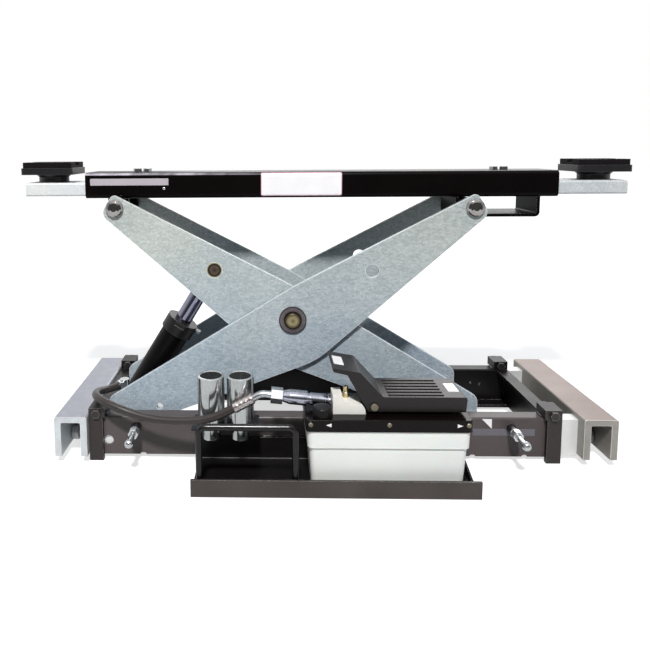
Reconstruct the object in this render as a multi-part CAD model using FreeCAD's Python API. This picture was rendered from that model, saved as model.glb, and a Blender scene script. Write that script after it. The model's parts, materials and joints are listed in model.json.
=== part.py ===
import FreeCAD, Part

import math
import os

from FreeCAD import Vector

# Rolling bridge jack, raised. Millimetres, +X to the right, +Y to the rear, +Z up.
# Shapes are drawn about the middle of the base and moved at the end, so that the origin
# lies under the middle of the whole jack, at the level of the tray and the end feet.

# General
overrun = 5.0
running_clearance = 0.05
face_gap = 0.3
slide_clearance = 0.5

# Scissor
arm_length = 796.6
raised_angle = 32.32
lowest_angle = 11.0
low_pin_height = 38.1
left_pin_inset = 36.8
runway_end_gap = 8.2
arm_thickness = 8.0
outer_arm_half_width = 86.0
arm_side_gap = 2.0
end_pin_radius = 11.0
centre_pin_radius = 14.5
lift_pin_radius = 15.0
lift_pin_offset = 176.0
arm_depth = 61.0
arm_top_reach = 17.5
arm_foot_reach = 24.0
sight_hole_radius = 12.7
tooling_hole_radius = 6.0
brace_offset = 152.0
brace_radius = 17.0
brace_wall = 3.0

# Base frame
rail_inner_half_width = 105.0
rail_width = 30.0
rail_height = 75.0
rail_bottom = 7.0
rail_wall = 3.0
rail_corner_radius = 4.0
end_plate_thickness = 6.0
end_plate_overhang = 8.0
end_flange_length = 20.0
end_top_flange_length = 18.0
foot_length = 22.0
lug_length = 30.0
lug_height = 18.0
corner_bolt_radius = 5.0
corner_bolt_head_radius = 8.5
corner_bolt_head = 6.0
notch_radius = 6.0
notch_x_shares = (-0.782, 0.648, 0.870)
sight_port_radius = 9.0
sight_port_inset = 28.4
sight_port_z = 36.0
rivet_hole_radius = 2.5
rivet_hole_spacing = 20.0
rivet_hole_inset = 74.0
rivet_hole_drop = 3.0
rivet_hole_z = 52.0

# Rolling carriages
channel_width = 60.0
channel_height = 75.0
channel_length = 310.0
channel_bottom = 13.5
channel_leg = 12.0
channel_top = 11.0
channel_corner_radius = 4.0
left_channel_gap = 0.5
right_extension = 34.0
slide_tube_length = 220.0
slide_tube_wall = 3.0
track_roller_radius = 15.0
track_roller_width = 14.0
track_axle_radius = 6.0
track_axle_y = 90.0
track_axle_z = 31.0
track_axle_head_radius = 9.0
track_axle_head = 3.0
track_roller_side_gap = 1.0

# Lock pins
lock_inset = 82.0
lock_z = 63.0
lock_hole_pitch = 36.0
lock_hole_count = 4
lock_body_radius = 9.0
lock_body_length = 20.0
lock_hex_radius = 9.5
lock_hex_length = 14.0
plunger_radius = 5.0
lock_stem_length = 32.0
lock_ball_radius = 8.0

# Beam
beam_width = 100.0
beam_height = 50.0
beam_overhang = 26.0
beam_wall = 4.0
beam_corner_radius = 8.0
beam_pin_drop = 16.8
beam_lug_thickness = 10.0
beam_lug_half_spread = 46.0
beam_lug_radius = 20.0
stop_bolt_radius = 5.0
stop_bolt_head_radius = 8.5
stop_bolt_head = 6.5
left_stop_bolt_inset = 102.0
right_stop_bolt_inset = 95.0
stop_bolt_spacing = 20.0

# Roller track under the beam
top_roller_radius = 14.9
top_roller_half_width = 46.0
strap_half_width = 48.0
strap_thickness = 6.0
strap_end_gap = 5.0
strap_back_gap = 4.0
strap_corner_radius = 9.0
roller_lift_gap = 0.6

# Extension arms and pads
ext_height = 26.0
ext_wall = 4.0
ext_inner_gap = 12.0
left_ext_reach = 118.5
right_ext_reach = 130.8
pad_setback = 41.0
pad_neck_radius = 29.0
pad_neck_height = 15.5
pad_spigot_radius = 12.0
pad_spigot_length = 14.0
pad_flange_length = 101.0
pad_flange_depth = 90.0
pad_flange_height = 13.0
pad_flange_corner = 7.0
pad_rubber_length = 95.0
pad_rubber_depth = 84.0
pad_rubber_height = 11.0
pad_groove_width = 20.0
pad_groove_depth = 7.5
pad_rubber_corner = 5.0

# Shafts and rollers
pin_head_radius = 17.0
pin_head_height = 9.5
washer_radius = 26.0
washer_thickness = 3.0
centre_pin_stick_out = 6.0
spacer_radius = 16.0
shaft_end_gap = 1.0
bottom_roller_radius = 25.0
bottom_roller_width = 11.0
bottom_roller_gap = 1.5
track_bar_thickness = 6.0
track_bar_start_gap = 20.0
collar_radius = 17.0

# Lift cylinder
barrel_radius = 29.0
barrel_bore_radius = 23.0
barrel_start = 24.0
barrel_end = 200.5
barrel_base_thickness = 10.0
barrel_eye_radius = 24.0
barrel_eye_half_width = 25.0
gland_radius = 33.0
gland_length = 28.0
gland_top = 221.5
gland_skirt = 10.0
gland_flat_depth = 2.0
rod_radius = 17.0
piston_length = 20.0
piston_bottom_gap = 6.0
piston_clearance = 0.1
rod_eye_radius = 19.0
rod_eye_half_width = 22.0
bleed_radius = 5.0
bleed_length = 12.0
bleed_from_top = 7.0
lift_shaft_gap = 0.5

# Tray
tray_left = -229.0
tray_reach = 124.0
tray_right_margin = 15.5
tray_thickness = 4.0
tray_lip_height = 30.5
tray_back_height = 45.0
tray_bend_radius = 2.0
gusset_thickness = 3.0
gusset_inset = 4.0

# Handle loop
loop_inset = 8.0
loop_length = 172.0
loop_top = 122.0
loop_bar_radius = 5.7
loop_corner_radius = 17.0

# Stack adapters and their shelf
adapter_inset = 27.0
adapter_pitch = 52.4
adapter_reach = 28.0
adapter_radius = 24.15
adapter_bore_radius = 19.3
adapter_top = 173.0
adapter_spigot_radius = 16.0
adapter_spigot_length = 30.0
adapter_edge = 1.2
shelf_top = 86.0
shelf_thickness = 4.0
shelf_margin = 9.0
shelf_skirt_height = 22.0
shelf_hole_clearance = 0.5

# Pump
reservoir_gap = 13.5
reservoir_length = 270.0
reservoir_taper = 6.0
reservoir_setback = 12.0
reservoir_depth = 108.0
reservoir_step_height = 80.0
reservoir_step = 2.5
reservoir_top = 110.0
reservoir_corner = 10.0
lid_height = 20.0
lid_corner = 8.0
lid_edge = 2.0
lid_screw_radius = 4.0
lid_screw_head = 1.2
lid_screw_inset = 6.0
lid_screw_drop = 8.0
block_inset = 44.5
block_top = 162.0
block_setback = 21.0
block_depth = 36.0
block_corner = 1.0
valve_inset = 23.2
valve_ledge_share = 0.70
valve_radius = 5.4
valve_height = 9.6
valve_stem_radius = 4.0
valve_stem_height = 10.0
treadle_setback = 20.0
treadle_depth = 84.0
treadle_wall = 4.0
treadle_pivot_inset = 113.5
treadle_pivot_z = 144.0
treadle_bolt_radius = 5.0
cheek_half_width = 13.5
cheek_top_half_width = 8.0
treadle_bolt_head_radius = 6.0
treadle_bolt_head = 4.0
treadle_gap = 5.0
treadle_corner = 4.2
treadle_rib_count = 6
treadle_rib_height = 1.6
treadle_rib_width = 5.0
cap_inset = 26.5
cap_setback = 18.0
cap_radius = 16.0
cap_height = 15.0
cap_flute_count = 16
cap_flute_radius = 1.5
cap_flute_share = 1.02
cap_dome = 2.0
neck_radius = 13.0
neck_height = 3.0

# Outlet coupler and hose ends
outlet_inset = 24.5
outlet_z = 143.0
outlet_rise = 8.0
coupler_seat_gap = 1.2
coupler_radius = 10.5
coupler_length = 41.0
nose_radius = 12.5
nose_length = 42.0
collar_nut_radius = 14.0
collar_nut_length = 20.0
elbow_radius = 6.5
elbow_bend_radius = 22.0
elbow_straight = 10.0
elbow_turn = 34.0
ferrule_radius = 9.5
ferrule_length = 36.0
ferrule_groove = 0.8

# Hose
hose_radius = 7.3
hose_lead = 25.0
# Route of the hose between its two straight ends: share of the way along, share of the
# way back, and height as a share of the swivel port's height
hose_route_shares = (
    (0.102, 0.015, 1.025),
    (0.237, 0.049, 0.968),
    (0.394, 0.101, 0.937),
    (0.545, 0.153, 0.942),
    (0.685, 0.213, 0.992),
    (0.803, 0.256, 1.067),
    (0.914, 0.328, 1.129),
    (0.991, 0.456, 1.143),
    (1.036, 0.626, 1.119),
    (1.040, 0.813, 1.067),
)
swivel_y = -40.0
swivel_ring_radius = 18.0
swivel_ring_width = 18.0
swivel_stem_radius = 9.0
swivel_port_height = 66.9
swivel_port_turn = 45.0
swivel_nut_radius = 11.0
swivel_nut_length = 14.0


# Shape helpers

def box(x0, x1, y0, y1, z0, z1):
    corner = Vector(min(x0, x1), min(y0, y1), min(z0, z1))
    return Part.makeBox(abs(x1 - x0), abs(y1 - y0), abs(z1 - z0), corner)


def rod_x(x0, x1, y, z, radius):
    return Part.makeCylinder(radius, abs(x1 - x0), Vector(min(x0, x1), y, z), Vector(1, 0, 0))


def rod_y(y0, y1, x, z, radius):
    return Part.makeCylinder(radius, abs(y1 - y0), Vector(x, min(y0, y1), z), Vector(0, 1, 0))


def rod_z(z0, z1, x, y, radius):
    return Part.makeCylinder(radius, abs(z1 - z0), Vector(x, y, min(z0, z1)), Vector(0, 0, 1))


def join(shapes):
    result = shapes[0].fuse(shapes[1:])
    return result.removeSplitter()


def both_sides(shape):
    """The shape and its mirror image across the middle plane, front and rear."""
    return [shape, shape.mirror(Vector(0, 0, 0), Vector(0, 1, 0))]


def rounded_wire(points, radii):
    """Closed wire through the corners, each rounded by a tangent arc of its radius."""
    count = len(points)
    starts, ends, middles = [], [], []
    for i in range(count):
        here = points[i]
        before = (points[i - 1] - here).normalize()
        after = (points[(i + 1) % count] - here).normalize()
        half = before.getAngle(after) / 2
        reach = radii[i] / math.tan(half)
        centre_way = (before + after).normalize()
        centre = here + centre_way * (radii[i] / math.sin(half))
        starts.append(here + before * reach)
        ends.append(here + after * reach)
        middles.append(centre - centre_way * radii[i])
    edges = []
    for i in range(count):
        if radii[i] > 0:
            edges.append(Part.Arc(starts[i], middles[i], ends[i]).toShape())
        edges.append(Part.LineSegment(ends[i], starts[(i + 1) % count]).toShape())
    return Part.Wire(edges)


def prism_y(outline, radii, y0, y1):
    """Outline in X and Z, drawn through the depth from y0 to y1."""
    points = [Vector(x, min(y0, y1), z) for x, z in outline]
    face = Part.Face(rounded_wire(points, radii))
    return face.extrude(Vector(0, abs(y1 - y0), 0))


def prism_x(outline, radii, x0, x1):
    """Outline in Y and Z, drawn along the length from x0 to x1."""
    points = [Vector(min(x0, x1), y, z) for y, z in outline]
    face = Part.Face(rounded_wire(points, radii))
    return face.extrude(Vector(abs(x1 - x0), 0, 0))


def prism_z(outline, radii, z0, z1):
    """Outline in X and Y, drawn up from z0 to z1."""
    points = [Vector(x, y, min(z0, z1)) for x, y in outline]
    face = Part.Face(rounded_wire(points, radii))
    return face.extrude(Vector(0, 0, abs(z1 - z0)))


def rectangle(u0, u1, v0, v1):
    return [(u0, v0), (u1, v0), (u1, v1), (u0, v1)]


def hex_prism(centre, axis, radius, length, spin=0.0):
    """Hexagonal bar around an axis, its corners at the radius."""
    points = []
    for i in range(6):
        angle = math.radians(60 * i + spin)
        points.append(Vector(radius * math.cos(angle), radius * math.sin(angle), 0))
    face = Part.Face(Part.makePolygon(points + [points[0]]))
    bar = face.extrude(Vector(0, 0, length))
    bar.Placement = FreeCAD.Placement(centre, FreeCAD.Rotation(Vector(0, 0, 1), axis))
    return bar


def turned(profile, centre, axis):
    """Profile of (radius, height) points turned round an axis that starts at the centre."""
    points = [Vector(r, 0, h) for r, h in profile]
    face = Part.Face(Part.makePolygon(points + [points[0]]))
    solid = face.revolve(Vector(0, 0, 0), Vector(0, 0, 1), 360)
    solid.Placement = FreeCAD.Placement(centre, FreeCAD.Rotation(Vector(0, 0, 1), axis))
    return solid


def write(name, shapes):
    parts = shapes if isinstance(shapes, list) else [shapes]
    solids = []
    for part in parts:
        moved = part.copy()
        moved.translate(-frame_origin)
        solids += moved.Solids
    whole = solids[0] if len(solids) == 1 else Part.makeCompound(solids)
    whole.exportStep(os.path.join("parts", name + ".step"))


# Places worked out from the driving sizes

lift = math.radians(raised_angle)
half_arm = arm_length / 2
lowest = math.radians(lowest_angle)
runway = arm_length * math.cos(lowest)
rail_half_length = (runway + left_pin_inset + bottom_roller_radius + runway_end_gap) / 2
left_pin_x = left_pin_inset - rail_half_length
centre_x = left_pin_x + half_arm * math.cos(lift)
centre_z = low_pin_height + half_arm * math.sin(lift)
right_pin_x = left_pin_x + arm_length * math.cos(lift)
top_pin_height = low_pin_height + arm_length * math.sin(lift)
outer_arm_inner_face = outer_arm_half_width - arm_thickness
inner_arm_half_width = outer_arm_inner_face - arm_side_gap
inner_arm_inner_face = inner_arm_half_width - arm_thickness
lift_pin_x = centre_x - lift_pin_offset * math.cos(lift)
lift_pin_z = centre_z + lift_pin_offset * math.sin(lift)
cylinder_reach = math.hypot(lift_pin_x - left_pin_x, lift_pin_z - low_pin_height)
cylinder_angle = math.atan2(lift_pin_z - low_pin_height, lift_pin_x - left_pin_x)
lowest_reach = math.hypot((half_arm - lift_pin_offset) * math.cos(lowest),
                          (half_arm + lift_pin_offset) * math.sin(lowest))
lift_stroke = cylinder_reach - lowest_reach

lock_x = rail_half_length - lock_inset
sight_port_x = sight_port_inset - rail_half_length
rivet_hole_x = rail_half_length - rivet_hole_inset

rail_top = rail_bottom + rail_height
rail_outer_half_width = rail_inner_half_width + rail_width
rail_middle = rail_inner_half_width + rail_width / 2
end_outer_x = rail_half_length + end_plate_thickness
tube_half_width = rail_width / 2 - rail_wall - face_gap
tube_bottom = rail_bottom + rail_wall + face_gap
tube_top = rail_top - rail_wall - face_gap
beam_half_length = rail_half_length + beam_overhang
left_stop_bolt_x = left_stop_bolt_inset - beam_half_length
right_stop_bolt_x = beam_half_length - right_stop_bolt_inset
beam_bottom = top_pin_height + beam_pin_drop
beam_top = beam_bottom + beam_height
ext_bottom = beam_bottom + beam_wall + face_gap
ext_top = ext_bottom + ext_height
ext_half_width = beam_width / 2 - beam_wall - slide_clearance
ext_length = beam_half_length - ext_inner_gap
left_ext_tip = -beam_half_length - left_ext_reach
right_ext_tip = beam_half_length + right_ext_reach
left_channel_inner = -end_outer_x - left_channel_gap
right_channel_inner = end_outer_x + right_extension

tray_front = -rail_outer_half_width - tray_reach
loop_left = tray_left + loop_inset
loop_right = loop_left + loop_length
adapter_left_x = tray_left + adapter_inset
adapter_y = -rail_outer_half_width - adapter_reach
reservoir_left = loop_right + reservoir_gap
reservoir_right = reservoir_left + reservoir_length
reservoir_front = tray_front + reservoir_setback
tray_right = reservoir_right + tray_right_margin
lid_top = reservoir_top + lid_height
block_left = reservoir_left + block_inset
block_front_y = reservoir_front + block_setback
valve_x = block_left + valve_inset
treadle_pivot_x = reservoir_left + treadle_pivot_inset
treadle_front = reservoir_front + treadle_setback
cap_x = reservoir_left + cap_inset
cap_y = reservoir_front + cap_setback
outlet_y = block_front_y + outlet_inset
frame_origin = Vector((left_ext_tip + right_ext_tip) / 2, (tray_front + channel_length / 2) / 2, 0)


# Scissor arms

def arm_outline():
    """Corners of an arm plate seen from the front, leaning up to the right."""
    half, depth, reach, foot = half_arm, arm_depth, arm_top_reach, arm_foot_reach
    corners = [
        (half + reach, 0.34 * depth, 0.15 * depth),
        (0.09 * half, 0.88 * depth, 1.5 * half),
        (-0.962 * half, 0.97 * depth, 0.25 * depth),
        (-half - 1.06 * foot, -0.10 * depth, 0.17 * depth),
        (-half - 0.66 * foot, -0.45 * depth, 0.33 * depth),
        (-0.80 * half, -0.45 * depth, 2.0 * depth),
        (-0.013 * half, -1.50 * depth, 2.5 * depth),
        (half + reach, -0.40 * depth, 0.30 * depth),
    ]
    outline, radii = [], []
    for along, across, radius in corners:
        outline.append((along, across))
        radii.append(radius)
    return outline, radii


def place_arm(shape, lean):
    """Turns a plate drawn flat about the centre pin to the raised lean."""
    shape.rotate(Vector(0, 0, 0), Vector(0, 1, 0), -lean)
    shape.translate(Vector(centre_x, 0, centre_z))
    return shape


def arm_plate(y_face, mirrored, holes):
    outline, radii = arm_outline()
    if mirrored:
        outline = [(-along, across) for along, across in outline]
    plate = prism_y(outline, radii, y_face - arm_thickness, y_face)
    y0, y1 = y_face - arm_thickness - overrun, y_face + overrun
    for along, across, radius in holes:
        plate = plate.cut(rod_y(y0, y1, along, across, radius))
    return place_arm(plate, -raised_angle if mirrored else raised_angle)


def outer_arm():
    holes = [
        (0, 0, centre_pin_radius),
        (half_arm, 0, end_pin_radius),
        (-half_arm, 0, end_pin_radius + running_clearance),
        (lift_pin_offset, 0, sight_hole_radius),
        (-0.776 * half_arm, -0.12 * arm_depth, tooling_hole_radius),
    ]
    front = arm_plate(-outer_arm_inner_face, False, holes)
    return both_sides(front)


def inner_arm():
    holes = [
        (0, 0, centre_pin_radius + running_clearance),
        (half_arm, 0, end_pin_radius),
        (-half_arm, 0, end_pin_radius + running_clearance),
        (-lift_pin_offset, 0, lift_pin_radius),
    ]
    front = arm_plate(-inner_arm_inner_face, True, holes)
    face = inner_arm_inner_face
    tube = rod_y(-face, face, brace_offset, 0, brace_radius)
    bore = rod_y(-face, face, brace_offset, 0, brace_radius - brace_wall)
    brace = place_arm(tube.cut(bore), -raised_angle)
    return both_sides(front) + [brace]


def domed_head(x, z, y_face):
    """Round pin head with a domed face, standing on the front or rear of a plate."""
    radius, height = pin_head_radius, pin_head_height
    profile = [
        (0, 0), (radius, 0), (radius, 0.28 * height), (0.95 * radius, 0.50 * height),
        (0.82 * radius, 0.73 * height), (0.62 * radius, 0.89 * height), (0.34 * radius, 0.98 * height),
        (0, height),
    ]
    return turned(profile, Vector(x, y_face, z), Vector(0, math.copysign(1, y_face), 0))


def headed_shaft(x, z, plate_face, spacer_start, spacer_end):
    """Cross shaft with a domed head outside each arm plate and a spacer sleeve inside."""
    head_seat = plate_face + face_gap
    pieces = [rod_y(-head_seat, head_seat, x, z, end_pin_radius)]
    for side in (-1, 1):
        pieces.append(domed_head(x, z, side * head_seat))
        pieces.append(rod_y(side * spacer_start, side * spacer_end, x, z, spacer_radius))
    return join(pieces)


def centre_pin():
    end = outer_arm_half_width + washer_thickness + centre_pin_stick_out
    pin = rod_y(-end, end, centre_x, centre_z, centre_pin_radius)
    pin = pin.makeChamfer(0.1 * centre_pin_radius, [pin.Edges[0], pin.Edges[2]])
    washer = rod_y(-outer_arm_half_width, -outer_arm_half_width - washer_thickness,
                   centre_x, centre_z, washer_radius)
    washer = washer.cut(rod_y(-end, end, centre_x, centre_z, centre_pin_radius))
    return [pin] + both_sides(washer)


def lift_pin_caps():
    cap = rod_y(-inner_arm_half_width, -inner_arm_inner_face, lift_pin_x, lift_pin_z, lift_pin_radius)
    return both_sides(cap)


def bottom_roller_shaft():
    end = rail_inner_half_width - shaft_end_gap
    return rod_y(-end, end, right_pin_x, low_pin_height, end_pin_radius)


def bottom_rollers():
    start = inner_arm_half_width + bottom_roller_gap
    wheel = rod_y(-start, -start - bottom_roller_width, right_pin_x, low_pin_height,
                  bottom_roller_radius - face_gap)
    bore_start, bore_end = -start + overrun, -start - bottom_roller_width - overrun
    bore = rod_y(bore_start, bore_end, right_pin_x, low_pin_height, end_pin_radius + running_clearance)
    return both_sides(wheel.cut(bore))


# Base frame

def rail(front):
    """Closed rail of rectangular tube; the front one has the lock pin holes."""
    outer = prism_x(rectangle(-rail_outer_half_width, -rail_inner_half_width, rail_bottom, rail_top),
                    [rail_corner_radius] * 4, -rail_half_length, rail_half_length)
    bore = box(-rail_half_length - overrun, rail_half_length + overrun,
               -rail_outer_half_width + rail_wall, -rail_inner_half_width - rail_wall,
               rail_bottom + rail_wall, rail_top - rail_wall)
    track_start = right_pin_x - bottom_roller_radius - track_bar_start_gap
    track = box(track_start, rail_half_length, -rail_inner_half_width,
                -inner_arm_half_width - bottom_roller_gap / 2,
                low_pin_height - bottom_roller_radius - track_bar_thickness,
                low_pin_height - bottom_roller_radius)
    body = join([outer.cut(bore), track])
    y_in = -rail_outer_half_width + rail_wall + overrun
    y_out = -rail_outer_half_width - overrun
    cuts = []
    if front:
        lock_hole = plunger_radius + running_clearance
        for side in (-1, 1):
            cuts.append(rod_y(y_out, y_in, side * lock_x, lock_z, lock_hole))
        cuts.append(rod_y(y_out, y_in, sight_port_x, sight_port_z, sight_port_radius))
        for share in notch_x_shares:
            cuts.append(rod_y(y_out, y_in, share * rail_half_length, rail_bottom, notch_radius))
    else:
        y0, y1 = -rail_inner_half_width - rail_wall - overrun, -rail_inner_half_width + overrun
        for shift, drop in ((0, 0), (rivet_hole_spacing, rivet_hole_drop)):
            x, z = rivet_hole_x + shift, rivet_hole_z - drop
            cuts.append(rod_y(y0, y1, x, z, rivet_hole_radius))
    body = body.cut(cuts)
    return body if front else body.mirror(Vector(0, 0, 0), Vector(0, 1, 0))


def end_plate(side):
    """Folded end of the frame: plate, top flange, side flanges, feet and bolt lugs."""
    x_in, x_out = rail_half_length, end_outer_x
    half = rail_outer_half_width + end_plate_overhang
    outline = [
        (-half, 0), (-half + foot_length, 0), (-half + foot_length + rail_bottom, rail_bottom),
        (half - foot_length - rail_bottom, rail_bottom), (half - foot_length, 0), (half, 0),
        (half, rail_top), (-half, rail_top),
    ]
    plate = prism_x(outline, [0] * 8, x_in, x_out)
    pieces = [plate]
    flange_half = rail_inner_half_width - end_plate_thickness
    pieces.append(box(x_in - end_top_flange_length, x_in, -flange_half, flange_half,
                      rail_top - end_plate_thickness, rail_top))
    for way in (-1, 1):
        y_rail, y_edge = way * rail_outer_half_width, way * half
        pieces.append(box(x_in - end_flange_length, x_in, y_rail, y_edge, 0, rail_top))
        pieces.append(box(x_out - lug_length, x_out, way * rail_inner_half_width, y_edge,
                          rail_top, rail_top + lug_height))
    body = join(pieces)
    for way in (-1, 1):
        y0 = way * rail_middle - rail_width / 2 + rail_wall
        y1 = way * rail_middle + rail_width / 2 - rail_wall
        body = body.cut(box(x_in - overrun, x_out + overrun, y0, y1,
                            rail_bottom + rail_wall, rail_top - rail_wall))
        body = body.cut(rod_y(way * (rail_inner_half_width - overrun), way * (half + overrun),
                              x_out - lug_length / 2, rail_top + lug_height / 2, corner_bolt_radius))
    if side < 0:
        body = body.mirror(Vector(0, 0, 0), Vector(1, 0, 0))
    return body


def corner_bolts():
    """Cross bolts through the corner lugs, heads outside and nuts inside."""
    outside = rail_outer_half_width + end_plate_overhang
    inside = rail_inner_half_width
    z = rail_top + lug_height / 2
    bolts = []
    for side in (-1, 1):
        for way in (-1, 1):
            x = side * (end_outer_x - lug_length / 2)
            shank = rod_y(way * (inside - corner_bolt_head), way * outside, x, z, corner_bolt_radius)
            head = hex_prism(Vector(x, way * outside, z), Vector(0, way, 0),
                             corner_bolt_head_radius, corner_bolt_head)
            nut = hex_prism(Vector(x, way * inside, z), Vector(0, -way, 0),
                            corner_bolt_head_radius, corner_bolt_head)
            bolts.append(join([shank, head, nut]))
    return bolts


def base_shaft():
    """Fixed cross shaft at the foot of the outer arm, with a collar at each rail."""
    end, collar_start = rail_inner_half_width, outer_arm_half_width + face_gap
    pieces = [rod_y(-end, end, left_pin_x, low_pin_height, end_pin_radius)]
    for way in (-1, 1):
        pieces.append(rod_y(way * collar_start, way * end, left_pin_x, low_pin_height, collar_radius))
    return join(pieces)


# Rolling carriages

def channel(inner_x, side):
    """Inverted channel that rides on the runway, with a lip of solid wall each side."""
    outer_x = inner_x + side * channel_width
    left, right = min(inner_x, outer_x), max(inner_x, outer_x)
    top = channel_bottom + channel_height
    inner_top = top - channel_top
    corner, inner_corner = channel_corner_radius, 0.75 * channel_corner_radius
    outline = [
        (left, channel_bottom), (left + channel_leg, channel_bottom), (left + channel_leg, inner_top),
        (right - channel_leg, inner_top), (right - channel_leg, channel_bottom), (right, channel_bottom),
        (right, top), (left, top),
    ]
    radii = [0, 0, inner_corner, inner_corner, 0, 0, corner, corner]
    body = prism_y(outline, radii, -channel_length / 2, channel_length / 2)
    for way in (-1, 1):
        body = body.cut(rod_x(outer_x - side * (channel_leg + overrun), outer_x + side * overrun,
                              way * track_axle_y, track_axle_z, track_axle_radius))
    return body


def slide_tubes(inner_x, side):
    """Front and rear tubes that run inside the rails; the front one has the lock holes."""
    far_x = inner_x - side * slide_tube_length
    middle = -rail_middle
    y0, y1 = middle - tube_half_width, middle + tube_half_width
    outer = box(far_x, inner_x, y0, y1, tube_bottom, tube_top)
    bore = box(far_x - side * overrun, inner_x + side * overrun, y0 + slide_tube_wall, y1 - slide_tube_wall,
               tube_bottom + slide_tube_wall, tube_top - slide_tube_wall)
    tube = outer.cut(bore)
    rear = tube.mirror(Vector(0, 0, 0), Vector(0, 1, 0))
    y_out, y_in = y0 - overrun, y0 + slide_tube_wall + overrun
    for i in range(lock_hole_count):
        x = side * (lock_x - (i - 1) * lock_hole_pitch)
        if abs(x) < abs(inner_x) - plunger_radius - slide_tube_wall:
            tube = tube.cut(rod_y(y_out, y_in, x, lock_z, plunger_radius + running_clearance))
    return [tube, rear]


def track_roller_axles(inner_x, side):
    outer_x = inner_x + side * channel_width
    leg_x = outer_x - side * channel_leg
    end_x = leg_x - side * (track_roller_width + 2 * track_roller_side_gap)
    axles = []
    for way in (-1, 1):
        shaft = rod_x(outer_x, end_x, way * track_axle_y, track_axle_z, track_axle_radius)
        head = rod_x(end_x, end_x - side * track_axle_head, way * track_axle_y, track_axle_z,
                     track_axle_head_radius)
        axles.append(join([shaft, head]))
    return axles


def track_roller(inner_x, side, way):
    leg_x = inner_x + side * (channel_width - channel_leg)
    x0 = leg_x - side * track_roller_side_gap
    x1 = x0 - side * track_roller_width
    crown = 0.1 * track_roller_radius
    bore = track_axle_radius + running_clearance
    width = track_roller_width
    profile = [
        (bore, 0), (track_roller_radius - crown, 0), (track_roller_radius, crown),
        (track_roller_radius, width - crown), (track_roller_radius - crown, width), (bore, width),
    ]
    return turned(profile, Vector(min(x0, x1), way * track_axle_y, track_axle_z), Vector(1, 0, 0))


# Lock pins

def lock_housings():
    face = -rail_outer_half_width
    housings = []
    for side in (-1, 1):
        x = side * lock_x
        body = rod_y(face, face - lock_body_length, x, lock_z, lock_body_radius)
        nut = hex_prism(Vector(x, face - lock_body_length, lock_z), Vector(0, -1, 0),
                        lock_hex_radius, lock_hex_length)
        bore = rod_y(face + overrun, face - lock_body_length - lock_hex_length - overrun, x, lock_z,
                     plunger_radius + running_clearance)
        housings.append(join([body, nut]).cut(bore))
    return housings


def lock_plunger(side):
    """Sprung plunger with a ball knob; its tip stands just clear of the slide tube."""
    x = side * lock_x
    tip = -rail_outer_half_width + rail_wall
    ball_y = -rail_outer_half_width - lock_body_length - lock_hex_length - lock_stem_length
    stem = rod_y(tip, ball_y, x, lock_z, plunger_radius)
    neck = turned([(0, 0), (0.62 * lock_ball_radius, 0), (lock_ball_radius, 0.9 * lock_ball_radius),
                   (0, 0.9 * lock_ball_radius)],
                  Vector(x, ball_y + 1.1 * lock_ball_radius, lock_z), Vector(0, -1, 0))
    ball = Part.makeSphere(lock_ball_radius, Vector(x, ball_y, lock_z))
    return join([stem, neck.common(ball), ball])


# Beam with its roller track

def beam_tube():
    outer = prism_x(rectangle(-beam_width / 2, beam_width / 2, beam_bottom, beam_top),
                    [beam_corner_radius] * 4, -beam_half_length, beam_half_length)
    inner_radius = beam_corner_radius - beam_wall
    bore = prism_x(rectangle(-beam_width / 2 + beam_wall, beam_width / 2 - beam_wall,
                             beam_bottom + beam_wall, beam_top - beam_wall),
                   [inner_radius] * 4, -beam_half_length - overrun, beam_half_length + overrun)
    body = outer.cut(bore)
    for x in stop_bolt_places():
        body = body.cut(rod_z(beam_top - beam_wall - overrun, beam_top + overrun, x, 0, stop_bolt_radius))
    x0, x1 = left_pin_x - beam_lug_radius, left_pin_x + beam_lug_radius
    lug_foot, lug_round = top_pin_height - beam_lug_radius, 0.95 * beam_lug_radius
    lug_outline = [(x0, beam_bottom), (x0, lug_foot), (x1, lug_foot), (x1, beam_bottom)]
    lug = prism_y(lug_outline, [0, lug_round, lug_round, 0],
                  -beam_lug_half_spread, -beam_lug_half_spread + beam_lug_thickness)
    lug = lug.cut(rod_y(-beam_width, beam_width, left_pin_x, top_pin_height, end_pin_radius))
    return join([body] + both_sides(lug))


def stop_bolt_places():
    places = []
    for middle in (left_stop_bolt_x, right_stop_bolt_x):
        places += [middle - stop_bolt_spacing / 2, middle + stop_bolt_spacing / 2]
    return places


def stop_bolts():
    bolts = []
    for x in stop_bolt_places():
        head = hex_prism(Vector(x, 0, beam_top), Vector(0, 0, 1), stop_bolt_head_radius, stop_bolt_head)
        shank = rod_z(ext_top + face_gap, beam_top, x, 0, stop_bolt_radius)
        bolts.append(join([head, shank]))
    return bolts


def roller_strap():
    """Flat bar bent to a long loop under the beam, in which the top roller runs."""
    reach = arm_length * math.cos(lowest) + left_pin_x + top_roller_radius + strap_end_gap
    start = right_pin_x - top_roller_radius - strap_back_gap
    floor = top_pin_height - top_roller_radius - roller_lift_gap
    wall, corner = strap_thickness, strap_corner_radius
    outer = [
        (start - wall, beam_bottom), (start - wall, floor - wall),
        (reach + wall, floor - wall), (reach + wall, beam_bottom),
    ]
    inner = [
        (start, beam_bottom + overrun), (start, floor), (reach, floor), (reach, beam_bottom + overrun),
    ]
    body = prism_y(outer, [0, corner, corner, 0], -strap_half_width, strap_half_width)
    space = prism_y(inner, [0, corner - wall, corner - wall, 0],
                    -strap_half_width - overrun, strap_half_width + overrun)
    return body.cut(space)


def beam_shaft():
    return headed_shaft(left_pin_x, top_pin_height, inner_arm_half_width,
                        beam_lug_half_spread, inner_arm_inner_face - shaft_end_gap)


def top_roller_shaft():
    return headed_shaft(right_pin_x, top_pin_height, outer_arm_half_width,
                        strap_half_width + shaft_end_gap, outer_arm_inner_face)


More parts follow.
